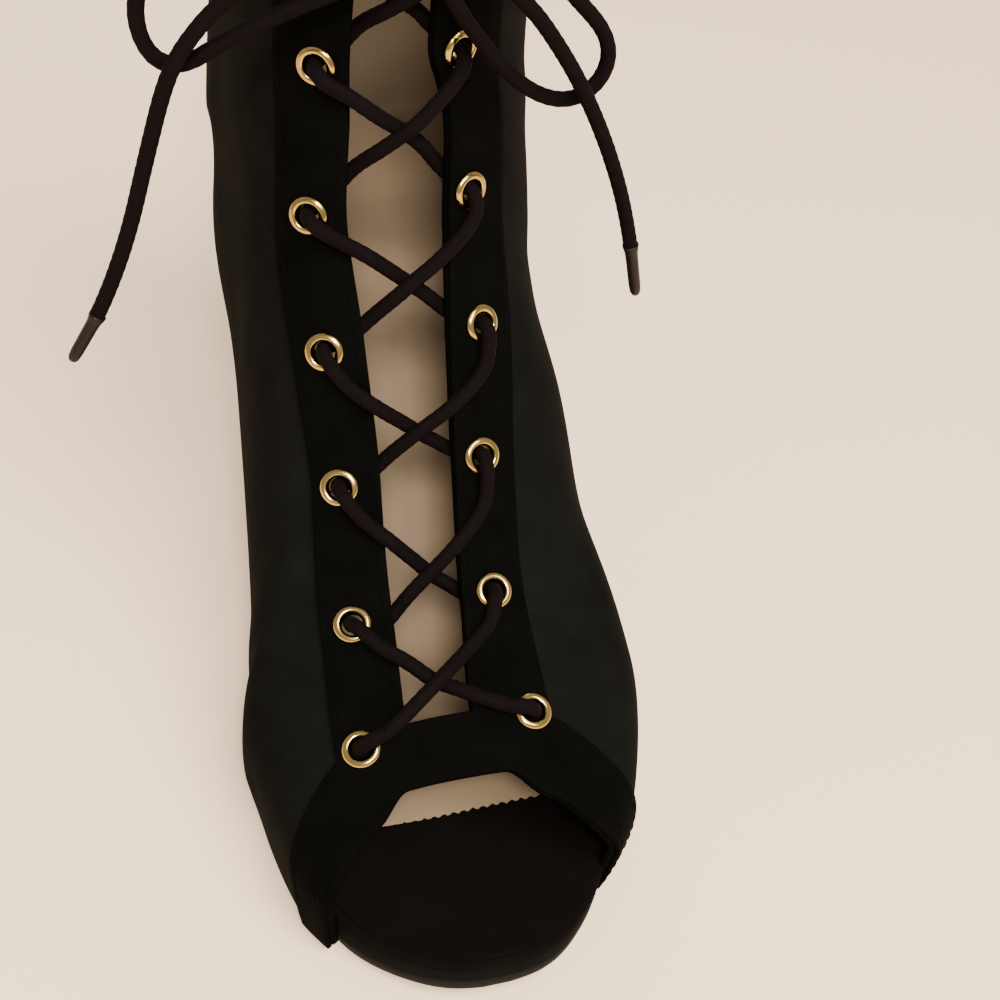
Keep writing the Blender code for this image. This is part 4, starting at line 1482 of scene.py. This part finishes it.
@dataclass
class Sole:
    """Outsole, covered platform and insole with its dark toe cover."""

    last: Last
    wall: float = 2.0
    clearance: float = 0.45
    outsole_thickness: float = 3.0
    insole_thickness: float = 2.0
    gap: float = 0.3
    tip: tuple[float, float] = (0.45, 1.0)
    numbers: tuple[float, ...] = (
        0.42, 0.523, 0.627, 0.73, 1.15, 1.58, 2.0, 2.4, 2.8, 3.1, 3.5, 4.0, 4.5, 5.0, 5.7, 6.4, 7.0,
        7.6, 8.3,
    )
    per_span: int = 6
    spacing: float = 1.5
    passes: int = 9
    groove_pitch: float = 4.2
    groove_depth: float = 0.45
    groove_bow: float = 160.0
    groove_slope: float = 2.2
    groove_land: float = 1.0
    tread_detail: float = 2.4
    tread_columns: int = 60
    tread_y: tuple[float, float] = (-44.0, 26.0)
    tread_half: float = 34.0
    tread_fade: tuple[float, float] = (3.0, 4.0)
    cup_middle: float = 2.0
    cup_half: float = 26.0
    cup_depth: float = 0.35
    cup_y: float = -46.0
    cup_fade: float = 20.0
    cover_edge: float = -12.5
    cover_inset: float = 1.1
    cover_front: float = 0.05
    cover_size: tuple[int, int] = (46, 112)
    cover_heights: tuple[float, float] = (0.5, 0.02)
    cover_bulge: float = 0.1
    cover_edge_steps: int = 3
    tooth: float = 2.3
    tooth_depth: float = 1.0
    edge_wave: float = 0.5
    edge_wave_length: float = 11.0

    def edges(self, offset: float, numbers: Sequence[float]) -> list[np.ndarray]:
        """Read the upper's lower edge in plan.

        Args:
            offset: How far it is moved outwards.
            numbers: Section numbers of its points.

        Returns:
            Medial and lateral outline.
        """
        numbers = np.array(numbers)
        sides = []
        for distance in self.last.reach(numbers):
            points = self.last.points(numbers, distance) + offset * self.last.normals(numbers, distance)
            sides.append(points[:, :2])
        return sides

    def outline(self) -> PlanGrid:
        """Draw the sole inside the upper and round the open toe.

        Returns:
            Its plan.
        """
        medial, lateral = self.edges(-self.wall, self.numbers)
        toes = [np.stack([TOE.column(side), TOE.column("y")], 1) for side in Flank]
        moved = [medial + [self.clearance, 0], lateral - [self.clearance, 0]]
        sides = rounded_back([np.vstack(pair) for pair in zip(toes, moved)], *self.tip)
        soft = [soften(refine(side, self.per_span), self.spacing, self.passes) for side in sides]
        rows = max(len(side) for side in soft)
        return PlanGrid(*(with_count(side, rows) for side in soft))

    def level(self, plan: PlanGrid, inset: float, height: Height) -> np.ndarray:
        """One level of a layer.

        Args:
            plan: The sole's plan.
            inset: How far its outline moves inwards.
            height: Height for arrays of x and y.

        Returns:
            Points as rows, columns and three coordinates.
        """
        flat = plan.plan(inset)
        return np.concatenate([flat, height(flat[..., 0], flat[..., 1])[..., None]], -1)

    def follow(self, name: str, rise: float) -> Height:
        """Height that follows a profile at a rise above it."""
        return lambda x, y: PROFILE.at(name, y) + rise

    def tread(self, x: np.ndarray, y: np.ndarray) -> np.ndarray:
        """Height of the tread with shallow curved grooves under the forefoot.

        Args:
            x: Places across the sole.
            y: Places along it.

        Returns:
            Heights over the floor.
        """
        start, end = self.tread_y
        side_fade, end_fade = self.tread_fade
        zone = np.clip((y - start) / end_fade, 0, 1) * np.clip((end - y) / end_fade, 0, 1)
        zone = zone * np.clip((self.tread_half - np.abs(x)) / side_fade, 0, 1)
        wave = np.sin(2 * np.pi * (y - x**2 / self.groove_bow) / self.groove_pitch)
        groove = np.clip(self.groove_slope * wave - self.groove_land, 0, 1)
        return PROFILE.at("tread", y) + self.groove_depth * zone * groove

    def cupped(self, x: np.ndarray, y: np.ndarray) -> np.ndarray:
        """Height of the insole's top, a little lower along its middle.

        Args:
            x: Places across the sole.
            y: Places along it.

        Returns:
            Heights over the floor.
        """
        across = np.clip(np.abs(x - self.cup_middle) / self.cup_half, 0, 1)
        begun = np.clip((y - self.cup_y) / self.cup_fade, 0, 1)
        return PROFILE.at("footbed", y) - self.cup_depth * (1 - across**2) * begun

    def layers(self) -> tuple[Layer, ...]:
        """Describe outsole, platform and insole, each with rounded edges.

        Returns:
            The layers, lowest first.
        """
        top, under = self.outsole_thickness, -self.insole_thickness
        board = under - self.gap
        outsole = (
            (1.0, self.tread),
            (0.4, self.follow("tread", 0.35)),
            (0.1, self.follow("tread", 1.0)),
            (0.1, self.follow("tread", top - 0.4)),
            (0.4, self.follow("tread", top)),
        )
        platform = (
            (0.6, self.follow("tread", top + 0.05)),
            (0.1, self.follow("tread", top + 0.4)),
            (-0.25, self.follow("tread", top + 1.3)),
            (-0.25, self.follow("footbed", board - 0.5)),
            (-0.1, self.follow("footbed", board)),
        )
        insole = (
            (0.0, self.follow("footbed", under)),
            (-0.6, self.follow("footbed", -1.4)),
            (-0.5, self.follow("footbed", -0.7)),
            (0.1, self.follow("footbed", -0.2)),
            (0.9, self.cupped),
        )
        return (
            Layer("outsole_rubber", RUBBER, "sole_rubber", "outsole", outsole, fine=True),
            Layer("platform_cover", SUEDE, "suede", "platform", platform),
            Layer("insole_sock", SOCK, "sock_lining", "insole", insole),
        )

    def build_layers(self) -> list[bpy.types.Object]:
        """Make outsole, platform and insole.

        Returns:
            The three pieces.
        """
        plan = self.outline()
        count = round(len(plan.medial) * self.tread_detail)
        sides = (with_count(side, count) for side in (plan.medial, plan.lateral))
        fine = PlanGrid(*sides, columns=self.tread_columns)
        made = []
        for layer in self.layers():
            grid = fine if layer.fine else plan
            levels = [self.level(grid, inset, height) for inset, height in layer.levels]
            points, faces = grid.solid(levels)
            materials, slots = [layer.finish.material()], None
            if layer.node == "insole":
                materials.append(TOE_SUEDE.material())
                slots = np.array([points[face, 1].mean() < self.cover_edge for face in faces], int)
            piece = add_mesh(layer.name, points, faces, materials, slots)
            made.append(dress(piece, layer.slot, layer.node))
        return made

    def build_toe_cover(self) -> bpy.types.Object:
        """Make the dark cover on the insole's toe, with its pinked back edge.

        Returns:
            The piece.
        """
        flat = self.outline().plan(self.cover_inset)
        edges = [flat[:, 0], flat[:, -1]]
        rows, columns = self.cover_size
        front = float(max(edge[0, 1] for edge in edges)) + self.cover_front
        share = np.linspace(0, 1, columns)
        widths = [np.interp(self.cover_edge, edge[:, 1], edge[:, 0]) for edge in edges]
        across = widths[0] + (widths[1] - widths[0]) * share
        teeth = np.abs(((across / self.tooth) % 1) * 2 - 1) * self.tooth_depth
        ends = self.cover_edge + teeth + self.edge_wave * np.sin(across / self.edge_wave_length)
        y = front + (ends[None, :] - front) * np.linspace(0, 1, rows)[:, None]
        medial, lateral = (np.interp(y, edge[:, 1], edge[:, 0]) for edge in edges)
        x = medial + (lateral - medial) * share
        points = np.stack([x, y, self.cupped(x, y)], -1)
        normals = np.zeros_like(points)
        normals[..., 2] = 1.0
        cells = np.ones((rows - 1, columns - 1), bool)
        shell = Shell(
            points, normals, cells, *self.cover_heights, self.cover_bulge, self.cover_edge_steps
        )
        piece = add_mesh("toe_cover", *shell.build()[:2], [TOE_SUEDE.material()])
        return dress(piece, "band_suede")


@dataclass
class Heel:
    """Covered block heel and its rubber top piece."""

    sole: Sole
    front_y: float = 122.0
    seat_inset: float = 0.4
    seat_gap: float = 0.8
    numbers: tuple[float, ...] = (5.7, 6.4, 7.0, 7.6, 8.3)
    tip: tuple[float, float] = (0.40, 1.3)
    foot_half: float = 19.0
    foot_y: tuple[float, float] = (128.0, 165.0)
    foot_x: float = 3.5
    foot_rounding: tuple[float, float] = (0.55, 0.75)
    foot_back: float = 0.22
    top_piece: float = 5.5
    gap: float = 0.3
    levels: Table = Table(
        ("drop", "narrowing"),
        ((0.00, 0.00), (0.12, 0.22), (0.30, 0.48), (0.55, 0.74), (0.80, 0.92), (1.00, 1.00)),
    )
    level_count: int = 26
    edge_inset: float = 0.5
    lift_foot: tuple[Place, ...] = ((1.0, 0.0), (0.35, 0.3), (0.0, 0.9))
    lift_top: tuple[Place, ...] = ((0.0, 0.8), (0.3, 0.3))
    breast_numbers: tuple[float, float] = (4.8, 8.3)
    breast_points: int = 60
    per_span: int = 7

    def seat(self) -> list[np.ndarray]:
        """Draw the seat under the upper.

        Returns:
            Medial and lateral plan outline, breast to back.
        """
        numbers = np.linspace(*self.breast_numbers, self.breast_points)
        sides = []
        fine = self.sole.edges(-self.seat_inset, numbers)
        for side, line in zip(self.sole.edges(-self.seat_inset, self.numbers), fine):
            front = [np.interp(self.front_y, line[:, 1], line[:, 0]), self.front_y]
            sides.append(np.vstack([front, side]))
        return rounded_back(sides, *self.tip)

    def foot(self, count: int) -> list[np.ndarray]:
        """Draw the heel's lower end.

        Args:
            count: Points of each outline, as many as the seat has.

        Returns:
            Medial and lateral plan outline, breast to back.
        """
        front, back = self.foot_y
        across, along = self.foot_rounding
        angle = np.pi / 2 * np.arange(count) / (count - 1)
        half = np.cos(angle).clip(0, 1) ** across
        half[-1] = self.foot_back
        y = front + (back - front) * np.sin(angle) ** along
        return [np.stack([self.foot_x + way * self.foot_half * half, y], 1) for way in (-1, 1)]

    def build(self) -> list[bpy.types.Object]:
        """Make the heel block and its top piece.

        Returns:
            The two pieces.
        """
        seat = self.seat()
        foot = self.foot(len(seat[0]))
        seat_plan = PlanGrid(*(refine(side, self.per_span) for side in seat))
        foot_plan = PlanGrid(*(refine(side, self.per_span) for side in foot))
        low = self.top_piece + self.gap
        levels = []
        for drop in np.linspace(1, 0, self.level_count):
            narrowing = float(self.levels.at("narrowing", drop))
            inset = 0.0 if 0 < drop < 1 else self.edge_inset
            upper, lower = seat_plan.plan(inset), foot_plan.plan(inset)
            flat = upper + (lower - upper) * narrowing
            high = PROFILE.at("tread", upper[..., 1]) - self.seat_gap
            levels.append(np.concatenate([flat, (high + (low - high) * drop)[..., None]], -1))
        block = add_mesh("heel_cover", *seat_plan.solid(levels), [SUEDE.material()])
        lift = []
        for inset, z in (*self.lift_foot, *((inset, low - drop) for inset, drop in self.lift_top)):
            flat = foot_plan.plan(inset)
            lift.append(np.concatenate([flat, np.full((*flat.shape[:2], 1), z)], -1))
        piece = add_mesh("heel_lift", *foot_plan.solid(lift), [RUBBER.material()])
        return [dress(block, "suede", "heel"), dress(piece, "sole_rubber", "heel_top_piece")]


# Lace and bow


def tube_faces(count: int, sides: int) -> list[list[int]]:
    """Faces of a closed tube.

    Args:
        count: Number of its rings.
        sides: Points in each ring.

    Returns:
        Corner numbers of its walls and of its two ends.
    """
    numbers = np.arange(count * sides).reshape(count, sides)
    low, high = numbers[:-1], numbers[1:]
    walls = np.stack([low, np.roll(low, -1, 1), np.roll(high, -1, 1), high], -1)
    return [*walls.reshape(-1, 4).tolist(), numbers[0][::-1].tolist(), numbers[-1].tolist()]


@dataclass(frozen=True)
class RoundCord:
    """Round woven cord: a tube whose skin rises and falls with the plait."""

    radius: float = 1.72
    sides: int = 18
    spacing: float = 0.62
    strands: int = 5
    lay: float = 9.0
    plait: float = 0.045
    blunt: float = 0.15
    start_across: Point = (0.3, 1.0, 0.2)

    def tube(self, path: np.ndarray) -> tuple[np.ndarray, list[list[int]]]:
        """Lay the cord along a path.

        Args:
            path: Points in millimetres.

        Returns:
            Points and faces of a closed tube with rounded ends.
        """
        points = evenly(path, self.spacing)
        ways = unit(np.gradient(points, axis=0))
        along = lengths_along(points)
        total = along[-1]
        across = np.cross(ways[0], self.start_across)
        angles = 2 * np.pi * np.arange(self.sides) / self.sides
        plies = self.strands * angles
        rings = []
        for point, way, length in zip(points, ways, along):
            across = across - (across @ way) * way
            across = across / np.linalg.norm(across)
            other = np.cross(way, across)
            turn = 4 * np.pi * length / self.lay
            weave = np.sin(plies + turn) * np.sin(plies - turn)
            end = min(length, total - length)
            open_end = 1 - min(1.0, (end + self.blunt) / self.radius)
            close = math.sqrt(max(0.0, 1 - open_end**2))
            radius = self.radius * close * (1 - self.plait + self.plait * weave)
            circle = np.cos(angles)[:, None] * across + np.sin(angles)[:, None] * other
            rings.append(point + radius[:, None] * circle)
        return np.concatenate(rings), tube_faces(len(rings), self.sides)


class Strand(StrEnum):
    """Which strand of a crossing: the one that lies on top or the one beneath."""

    OVER = "over"
    UNDER = "under"


@dataclass
class Lacing:
    """The lace from the knot down through all eyelets and back up to the knot."""

    last: Last
    eyelets: Eyelets
    cord: RoundCord = RoundCord()
    crossing: Table = Table(
        ("share", "over", "under"),
        (
            (0.00, -4.4, -4.4),
            (0.18, -4.4, -4.4),
            (0.27, -4.2, -3.7),
            (0.44, -0.8, -2.2),
            (0.58, 1.3, 0.5),
            (0.72, 3.3, 3.3),
            (1.00, 3.2, 3.2),
        ),
    )
    lowest: Table = Table(
        ("share", "over", "under"),
        (
            (0.00, 3.2, 3.2),
            (0.40, 3.4, 3.1),
            (0.57, 4.2, 0.7),
            (0.74, 3.4, 3.3),
            (1.00, 3.2, 3.2),
        ),
    )
    course: Table = Table(
        ("share", "over", "under"),
        (
            (0.00, 0.00, 0.00),
            (0.12, 0.50, 0.50),
            (0.27, 0.76, 0.80),
            (0.42, 0.88, 1.00),
            (0.56, 0.97, 1.00),
            (0.70, 1.00, 0.88),
            (0.82, 0.98, 0.75),
            (0.92, 0.92, 0.50),
            (1.00, 0.75, 0.10),
        ),
    )
    droops: dict[Strand, tuple[float, ...]] = field(
        default_factory=lambda: {
            Strand.OVER: (6.6, 12.5, 10.7, 7.7, 4.8, 5.0),
            Strand.UNDER: (5.8, 7.0, 6.4, 3.5, 1.8, 3.0),
        }
    )
    shares: tuple[float, ...] = (0.13, 0.20, 0.28, 0.36, 0.44, 0.52, 0.60, 0.68, 0.76, 0.84, 0.92, 0.98)
    clear: float = 6.2
    over_lip: tuple[Place, ...] = ((5.2, 4.0), (3.3, 4.4), (1.1, 3.7), (-0.45, 1.6), (-0.70, -2.2))
    under_bridge: float = -4.4
    bridge_points: int = 7
    bridge_drop: float = 0.02
    behind_stay: tuple[Place, ...] = ((0.45, -4.6), (0.95, -4.3), (1.25, -1.0))
    behind_shift: float = 0.4
    behind_rise: float = 0.05
    per_span: int = 14
    passes: int = 12
    layers: dict[Flank, Strand] = field(
        default_factory=lambda: {Flank.MEDIAL: Strand.OVER, Flank.LATERAL: Strand.UNDER}
    )

    def strand(self, row: int, layer: Strand, start: Place, end: Place) -> list[np.ndarray]:
        """Lay one strand between two eyelets.

        Args:
            row: Row of the eyelet that it starts from.
            layer: Whether it lies over or under.
            start: Where the first eyelet sits.
            end: Where the other one sits.

        Returns:
            Points in order, up to near the other eyelet.
        """
        low, high = (float(self.last.along_ridge(place[0])) for place in (start, end))
        heights = self.lowest if row == 1 else self.crossing
        shares = np.array(self.shares)
        sag = self.droops[layer][row - 1] * self.course.at(layer, shares)
        numbers = self.last.at_length(low + (high - low) * shares - sag)
        distances = start[1] + (end[1] - start[1]) * shares
        apart = np.linalg.norm(self.last.points(numbers, distances) - self.last.points(*end), axis=1)
        points = self.last.raised(numbers, distances, heights.at(layer, shares))
        return list(points[apart > self.clear])

    def hole(self, place: Place, towards: np.ndarray) -> list[np.ndarray]:
        """Points over an eyelet's lip and down its hole.

        Args:
            place: The eyelet's section number and distance.
            towards: Point that the lace comes from.

        Returns:
            Points from outside to inside.
        """
        number, distance = np.array(place[0]), np.array(place[1])
        centre, normal = self.last.raised(number, distance, 0.0), self.last.normals(number, distance)
        side = towards - centre
        side = unit(side - (side @ normal) * normal)
        return [centre + away * side + height * normal for away, height in self.over_lip]

    def half(self, first_side: Flank) -> list[np.ndarray]:
        """Route from the lowest eyelet of one side up to the knot's side of the top eyelet.

        Args:
            first_side: Side of the lowest eyelet.

        Returns:
            Points in order.
        """
        side = first_side
        route: list[np.ndarray] = []
        for row in range(1, self.eyelets.count):
            start = self.eyelets.place(row, side)
            end = self.eyelets.place(row + 1, side.other)
            points = self.strand(row, self.layers[side], start, end)
            if row == 1:
                route += self.hole(start, points[0])[::-1]
            route += points
            route += self.hole(end, points[-1])
            side = side.other
        return route

    def to_knot(self, side: Flank, knot: np.ndarray) -> list[np.ndarray]:
        """Lay the lace from a top eyelet behind the eyestay, out of the throat and into the knot.

        Args:
            side: The eyelet's side.
            knot: Point inside the knot.

        Returns:
            Points in order.
        """
        number, start = self.eyelets.place(self.eyelets.count, side)
        edge = float(STAYS.at("throat_" + side, number))
        inwards = math.copysign(1.0, edge - start)
        points = []
        for share, height in self.behind_stay:
            distance = start + (edge - start) * share + inwards * self.behind_shift
            points.append(self.last.raised(number + self.behind_rise * share, distance, height))
        return [*points, knot]

    def route(self, knot_sides: dict[Flank, np.ndarray]) -> np.ndarray:
        """The whole lace from knot to knot.

        Args:
            knot_sides: Points inside the knot by the eyelets' side.

        Returns:
            Points of a smooth curve.
        """
        (number, medial), (end_number, lateral) = (self.eyelets.place(1, side) for side in Flank)
        bar = np.linspace(medial, lateral, self.bridge_points)[1:-1]
        numbers = np.linspace(number, end_number, self.bridge_points)[1:-1] - self.bridge_drop
        below = list(self.last.raised(numbers, bar, self.under_bridge))
        ends = []
        for first in Flank:
            arrives = first if self.eyelets.count % 2 else first.other
            ends.append(self.half(first) + self.to_knot(arrives, knot_sides[arrives]))
        points = ends[0][::-1] + below + ends[1]
        return soften(refine(np.array(points), self.per_span), self.cord.spacing, self.passes)

    def build(self, knot_sides: dict[Flank, np.ndarray]) -> bpy.types.Object:
        """Make the lace.

        Args:
            knot_sides: Points inside the knot by the eyelets' side.

        Returns:
            The piece.
        """
        path = self.route(knot_sides)
        LOG.info("laced length %.0f mm", lengths_along(path)[-1])
        piece = add_mesh("lace", *self.cord.tube(path), [CORD.material()])
        crossings = [f"lace_cross_{row}" for row in range(1, self.eyelets.count)]
        return dress(piece, "lace_cord", *crossings)


@dataclass
class Bow:
    """Knot, two loops and two ends with their aglets."""

    cord: RoundCord = RoundCord()
    knot: Route = ((-8.6, 56.0, 188.8), (-2.1, 55.4, 189.1), (4.4, 56.0, 188.8))
    loops: dict[str, Route] = field(
        default_factory=lambda: {
            "bow_loop_medial": (
                (-9.2, 56.0, 191.0), (-23.6, 54.0, 194.8), (-40.6, 55.5, 192.8), (-51.6, 58.0, 184.8),
                (-54.2, 59.0, 175.8), (-52.2, 59.0, 167.6), (-48.0, 59.0, 164.0), (-43.2, 59.0, 165.2),
                (-36.6, 58.6, 169.8), (-22.6, 57.6, 176.4), (-8.0, 56.6, 182.2),
            ),
            "bow_loop_lateral": (
                (5.0, 56.0, 191.0), (14.4, 54.6, 190.8), (25.4, 57.0, 182.3), (34.4, 59.0, 172.8),
                (40.4, 59.0, 166.4), (42.6, 59.0, 160.2), (40.8, 59.0, 154.2), (35.4, 59.0, 150.6),
                (28.4, 59.0, 152.2), (20.4, 58.8, 158.4), (10.4, 58.0, 170.8), (3.4, 56.6, 182.2),
            ),
        }
    )
    ends: dict[str, Route] = field(
        default_factory=lambda: {
            "bow_end_medial": (
                (-9.6, 55.6, 186.6), (-21.6, 54.0, 185.8), (-36.0, 54.0, 181.4), (-44.4, 54.0, 173.2),
                (-49.2, 54.0, 164.8), (-53.6, 54.0, 149.0), (-57.6, 54.0, 133.0), (-61.4, 54.0, 121.2),
                (-65.1, 54.0, 112.1),
            ),
            "bow_end_lateral": (
                (5.7, 55.6, 186.6), (12.4, 54.2, 183.2), (22.0, 54.0, 175.2), (28.4, 54.0, 167.0),
                (34.6, 54.0, 157.5), (41.8, 54.0, 143.6), (47.6, 54.0, 129.4), (51.4, 54.0, 117.0),
            ),
        }
    )
    aglets: dict[str, Route] = field(
        default_factory=lambda: {
            "aglet_medial": ((-65.4, 54.0, 111.4), (-71.4, 54.0, 100.4)),
            "aglet_lateral": ((51.6, 54.0, 116.2), (54.8, 54.0, 102.4)),
        }
    )
    into_knot: float = 0.35
    laced_into_knot: float = 0.5
    per_span: int = 10
    spacing: float = 1.0
    path_spacing: float = 2.0
    passes: int = 20
    turns: float = 2.1
    first_turn: float = 0.6
    wrap_radius: tuple[float, float] = (2.5, 2.7)
    wrap_margin: float = 0.6
    wrap_forward: float = 0.4
    wrap_points: int = 90
    core_margin: float = 1.5
    core_points: int = 12
    lace_in_aglet: float = 0.14
    aglet_sides: int = 20
    aglet_outline: tuple[Place, ...] = (
        (-0.005, 1.50), (0.00, 1.86), (0.04, 1.80), (0.10, 1.62), (0.17, 1.48), (0.30, 1.42),
        (0.80, 1.36), (0.93, 1.22), (0.985, 0.90), (1.00, 0.45),
    )

    def knot_sides(self) -> dict[Flank, np.ndarray]:
        """Find where the lace arrives inside the knot.

        Returns:
            The point for each side.
        """
        medial, middle, lateral = (np.array(p) for p in self.knot)
        ends = zip(Flank, (medial, lateral))
        return {side: end + self.laced_into_knot * (middle - end) for side, end in ends}

    def inside_knot(self, route: Sequence[Sequence[float]], both: bool) -> np.ndarray:
        """A route carried on into the knot, at its start or at both ends.

        Args:
            route: The route's own points.
            both: True for a loop, which comes back to the knot.

        Returns:
            Points of a smooth curve.
        """
        points = np.array(route, float)
        middle = np.array(self.knot[1])
        start, end = (p + self.into_knot * (middle - p) for p in (points[0], points[-1]))
        points = np.vstack([start, points, end] if both else [start, points])
        return soften(refine(points, self.per_span), self.spacing, self.passes)

    def build_knot(self) -> bpy.types.Object:
        """Make the wraps of the knot.

        Returns:
            The piece.
        """
        start, _, end = (np.array(p) for p in self.knot)
        margin = self.cord.radius + self.wrap_margin
        share = np.linspace(0, 1, self.wrap_points)
        turn = 2 * np.pi * self.turns * share + self.first_turn
        deep, high = self.wrap_radius
        x = start[0] + margin + (end[0] - start[0] - 2 * margin) * share
        y = start[1] - self.wrap_forward + deep * np.cos(turn)
        path = np.stack([x, y, start[2] + high * np.sin(turn)], 1)
        short = np.array([self.core_margin, 0.0, 0.0])
        core = np.linspace(start + short, end - short, self.core_points)
        parts = [self.cord.tube(path), self.cord.tube(core)]
        points = np.concatenate([part[0] for part in parts])
        faces = parts[0][1] + [[v + len(parts[0][0]) for v in face] for face in parts[1][1]]
        piece = add_mesh("knot_wraps", points, faces, [CORD.material()])
        return dress(piece, "lace_cord", "bow_knot")

    def build_aglet(self, node: str) -> bpy.types.Object:
        """Make one aglet.

        Args:
            node: Its node.

        Returns:
            The piece.
        """
        start, end = (np.array(p) for p in self.aglets[node])
        way = unit(end - start)
        across = unit(np.cross(way, [0.0, 1.0, 0.0]))
        other = np.cross(way, across)
        angles = 2 * np.pi * np.arange(self.aglet_sides) / self.aglet_sides
        circle = np.cos(angles)[:, None] * across + np.sin(angles)[:, None] * other
        run = end - start
        rings = [start + share * run + radius * circle for share, radius in self.aglet_outline]
        faces = tube_faces(len(rings), self.aglet_sides)
        piece = add_mesh(f"{node}_tip", np.concatenate(rings), faces, [FILM.material()])
        return dress(piece, "aglet_plastic", node)

    def build_cord(
        self,
        node: str,
        path: np.ndarray,
        material: bpy.types.Material,
    ) -> bpy.types.Object:
        """Make one free cord of the bow.

        Args:
            node: Its node.
            path: Its middle line in millimetres.
            material: Its finish.

        Returns:
            The piece.
        """
        piece = add_mesh(f"{node}_cord", *self.cord.tube(path), [material])
        dress(piece, "lace_cord", node)
        self.declare(piece, path)
        return piece

    def build(self) -> list[bpy.types.Object]:
        """Make the bow and log the length of each free cord.

        Returns:
            Every piece of the bow.
        """
        material = CORD.material()
        pieces = [self.build_knot()]
        for node, route in self.loops.items():
            path = self.inside_knot(route, True)
            pieces.append(self.build_cord(node, path, material))
        for (node, route), aglet in zip(self.ends.items(), self.aglets):
            tip = self.build_aglet(aglet)
            start, end = (np.array(p) for p in self.aglets[aglet])
            path = self.inside_knot([*route, start + self.lace_in_aglet * (end - start)], False)
            pieces += [self.build_cord(node, path, material), tip]
        return pieces

    def declare(
        self, piece: bpy.types.Object, path: np.ndarray
    ) -> None:
        """Log a free cord's length.

        Args:
            piece: The cord's mesh.
            path: Its middle line in millimetres.
        """
        length = float(lengths_along(path)[-1])
        LOG.info("%s: %.0f mm of cord", piece.name, length)
        (evenly(path, self.path_spacing) * MM).tolist()


# Studio


@dataclass
class Studio:
    """Pale floor, soft light and the photograph's camera."""

    camera_place: Point = (-90.95, -254.71, 337.07)
    azimuth: float = 21.04
    elevation: float = 41.55
    roll: float = 6.67
    focal_pixels: float = 1801.18
    frame_pixels: float = 1000.0
    sensor: float = 36.0
    clip: tuple[float, float] = (0.01, 20.0)
    floor_half: float = 3000.0
    world_strength: float = 0.62
    world_colour: Colour = (1.0, 0.94, 0.86)
    light_colour: Colour = (1.0, 0.94, 0.84)
    aim: Point = (0.0, 0.06, 0.08)
    lights: dict[str, tuple[Point, float, float]] = field(
        default_factory=lambda: {
            "ceiling": ((0.30, -0.70, 1.30), 0.8, 36.0),
            "key": ((-0.25, -0.95, 1.15), 0.30, 34.0),
            "back": ((0.50, 2.80, 1.20), 1.6, 48.0),
        }
    )

    def build_camera(self) -> None:
        """Set the camera at the photograph's angle, rolled as it is."""
        a, e, r = (math.radians(v) for v in (self.azimuth, self.elevation, self.roll))
        back = np.array([-math.sin(a) * math.cos(e), -math.cos(a) * math.cos(e), math.sin(e)])
        right = np.array([math.cos(a), -math.sin(a), 0.0])
        up = np.cross(back, right)
        rolled_right = math.cos(r) * right + math.sin(r) * up
        rolled_up = -math.sin(r) * right + math.cos(r) * up
        data = bpy.data.cameras.new("photo_camera")
        data.sensor_width = self.sensor
        data.lens = self.focal_pixels / self.frame_pixels * self.sensor
        data.clip_start, data.clip_end = self.clip
        camera = bpy.data.objects.new("photo_camera", data)
        place = Matrix(np.stack([rolled_right, rolled_up, back], 1).tolist()).to_4x4()
        place.translation = [v * MM for v in self.camera_place]
        camera.matrix_world = place
        bpy.context.scene.collection.objects.link(camera)
        bpy.context.scene.camera = camera

    def build_light(self, name: str, place: Point, size: float, power: float) -> None:
        """Add one soft light aimed at the boot.

        Args:
            name: Its name.
            place: Where it hangs, in metres.
            size: Its side, in metres.
            power: Its power in watts.
        """
        data = bpy.data.lights.new(name, "AREA")
        data.size = size
        data.energy = power
        data.color = self.light_colour
        light = bpy.data.objects.new(name, data)
        back = unit(np.array(place) - np.array(self.aim))
        right = unit(np.cross([0.0, 0.0, 1.0], back))
        turned = np.stack([right, np.cross(back, right), back], 1)
        light.matrix_world = Matrix(turned.tolist()).to_4x4()
        light.location = place
        light.visible_camera = False
        bpy.context.scene.collection.objects.link(light)

    def build(self) -> None:
        """Make floor, world, lights and camera."""
        signs = ((-1, -1, 0), (1, -1, 0), (1, 1, 0), (-1, 1, 0))
        corners = self.floor_half * np.array(signs, float)
        floor = add_mesh("floor", corners, [(0, 1, 2, 3)], [FLOOR.material()])
        world = bpy.data.worlds.new("soft_room")
        world.use_nodes = True
        shade = world.node_tree.nodes["Background"]
        shade.inputs["Color"].default_value = (*self.world_colour, 1.0)
        shade.inputs["Strength"].default_value = self.world_strength
        bpy.context.scene.world = world
        for name, (place, size, power) in self.lights.items():
            self.build_light(name, place, size, power)
        self.build_camera()


def main() -> None:
    """Build the boot piece by piece."""
    logging.basicConfig(level=logging.INFO, format="%(name)s: %(message)s")
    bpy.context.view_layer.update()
    Studio().build()
    last = Last()
    eyelets = Eyelets()
    bow = Bow()
    bow.build()
    Lacing(last, eyelets).build(bow.knot_sides())
    grid = ShellGrid(last)
    Upper(grid, eyelets).build()
    FrontBand(grid, eyelets).build()
    eyelets.build(last)
    Stitching(grid).build()
    sole = Sole(last)
    sole.build_layers()
    sole.build_toe_cover()
    Heel(sole).build()
    bpy.context.view_layer.update()


if __name__ == "__main__":
    main()
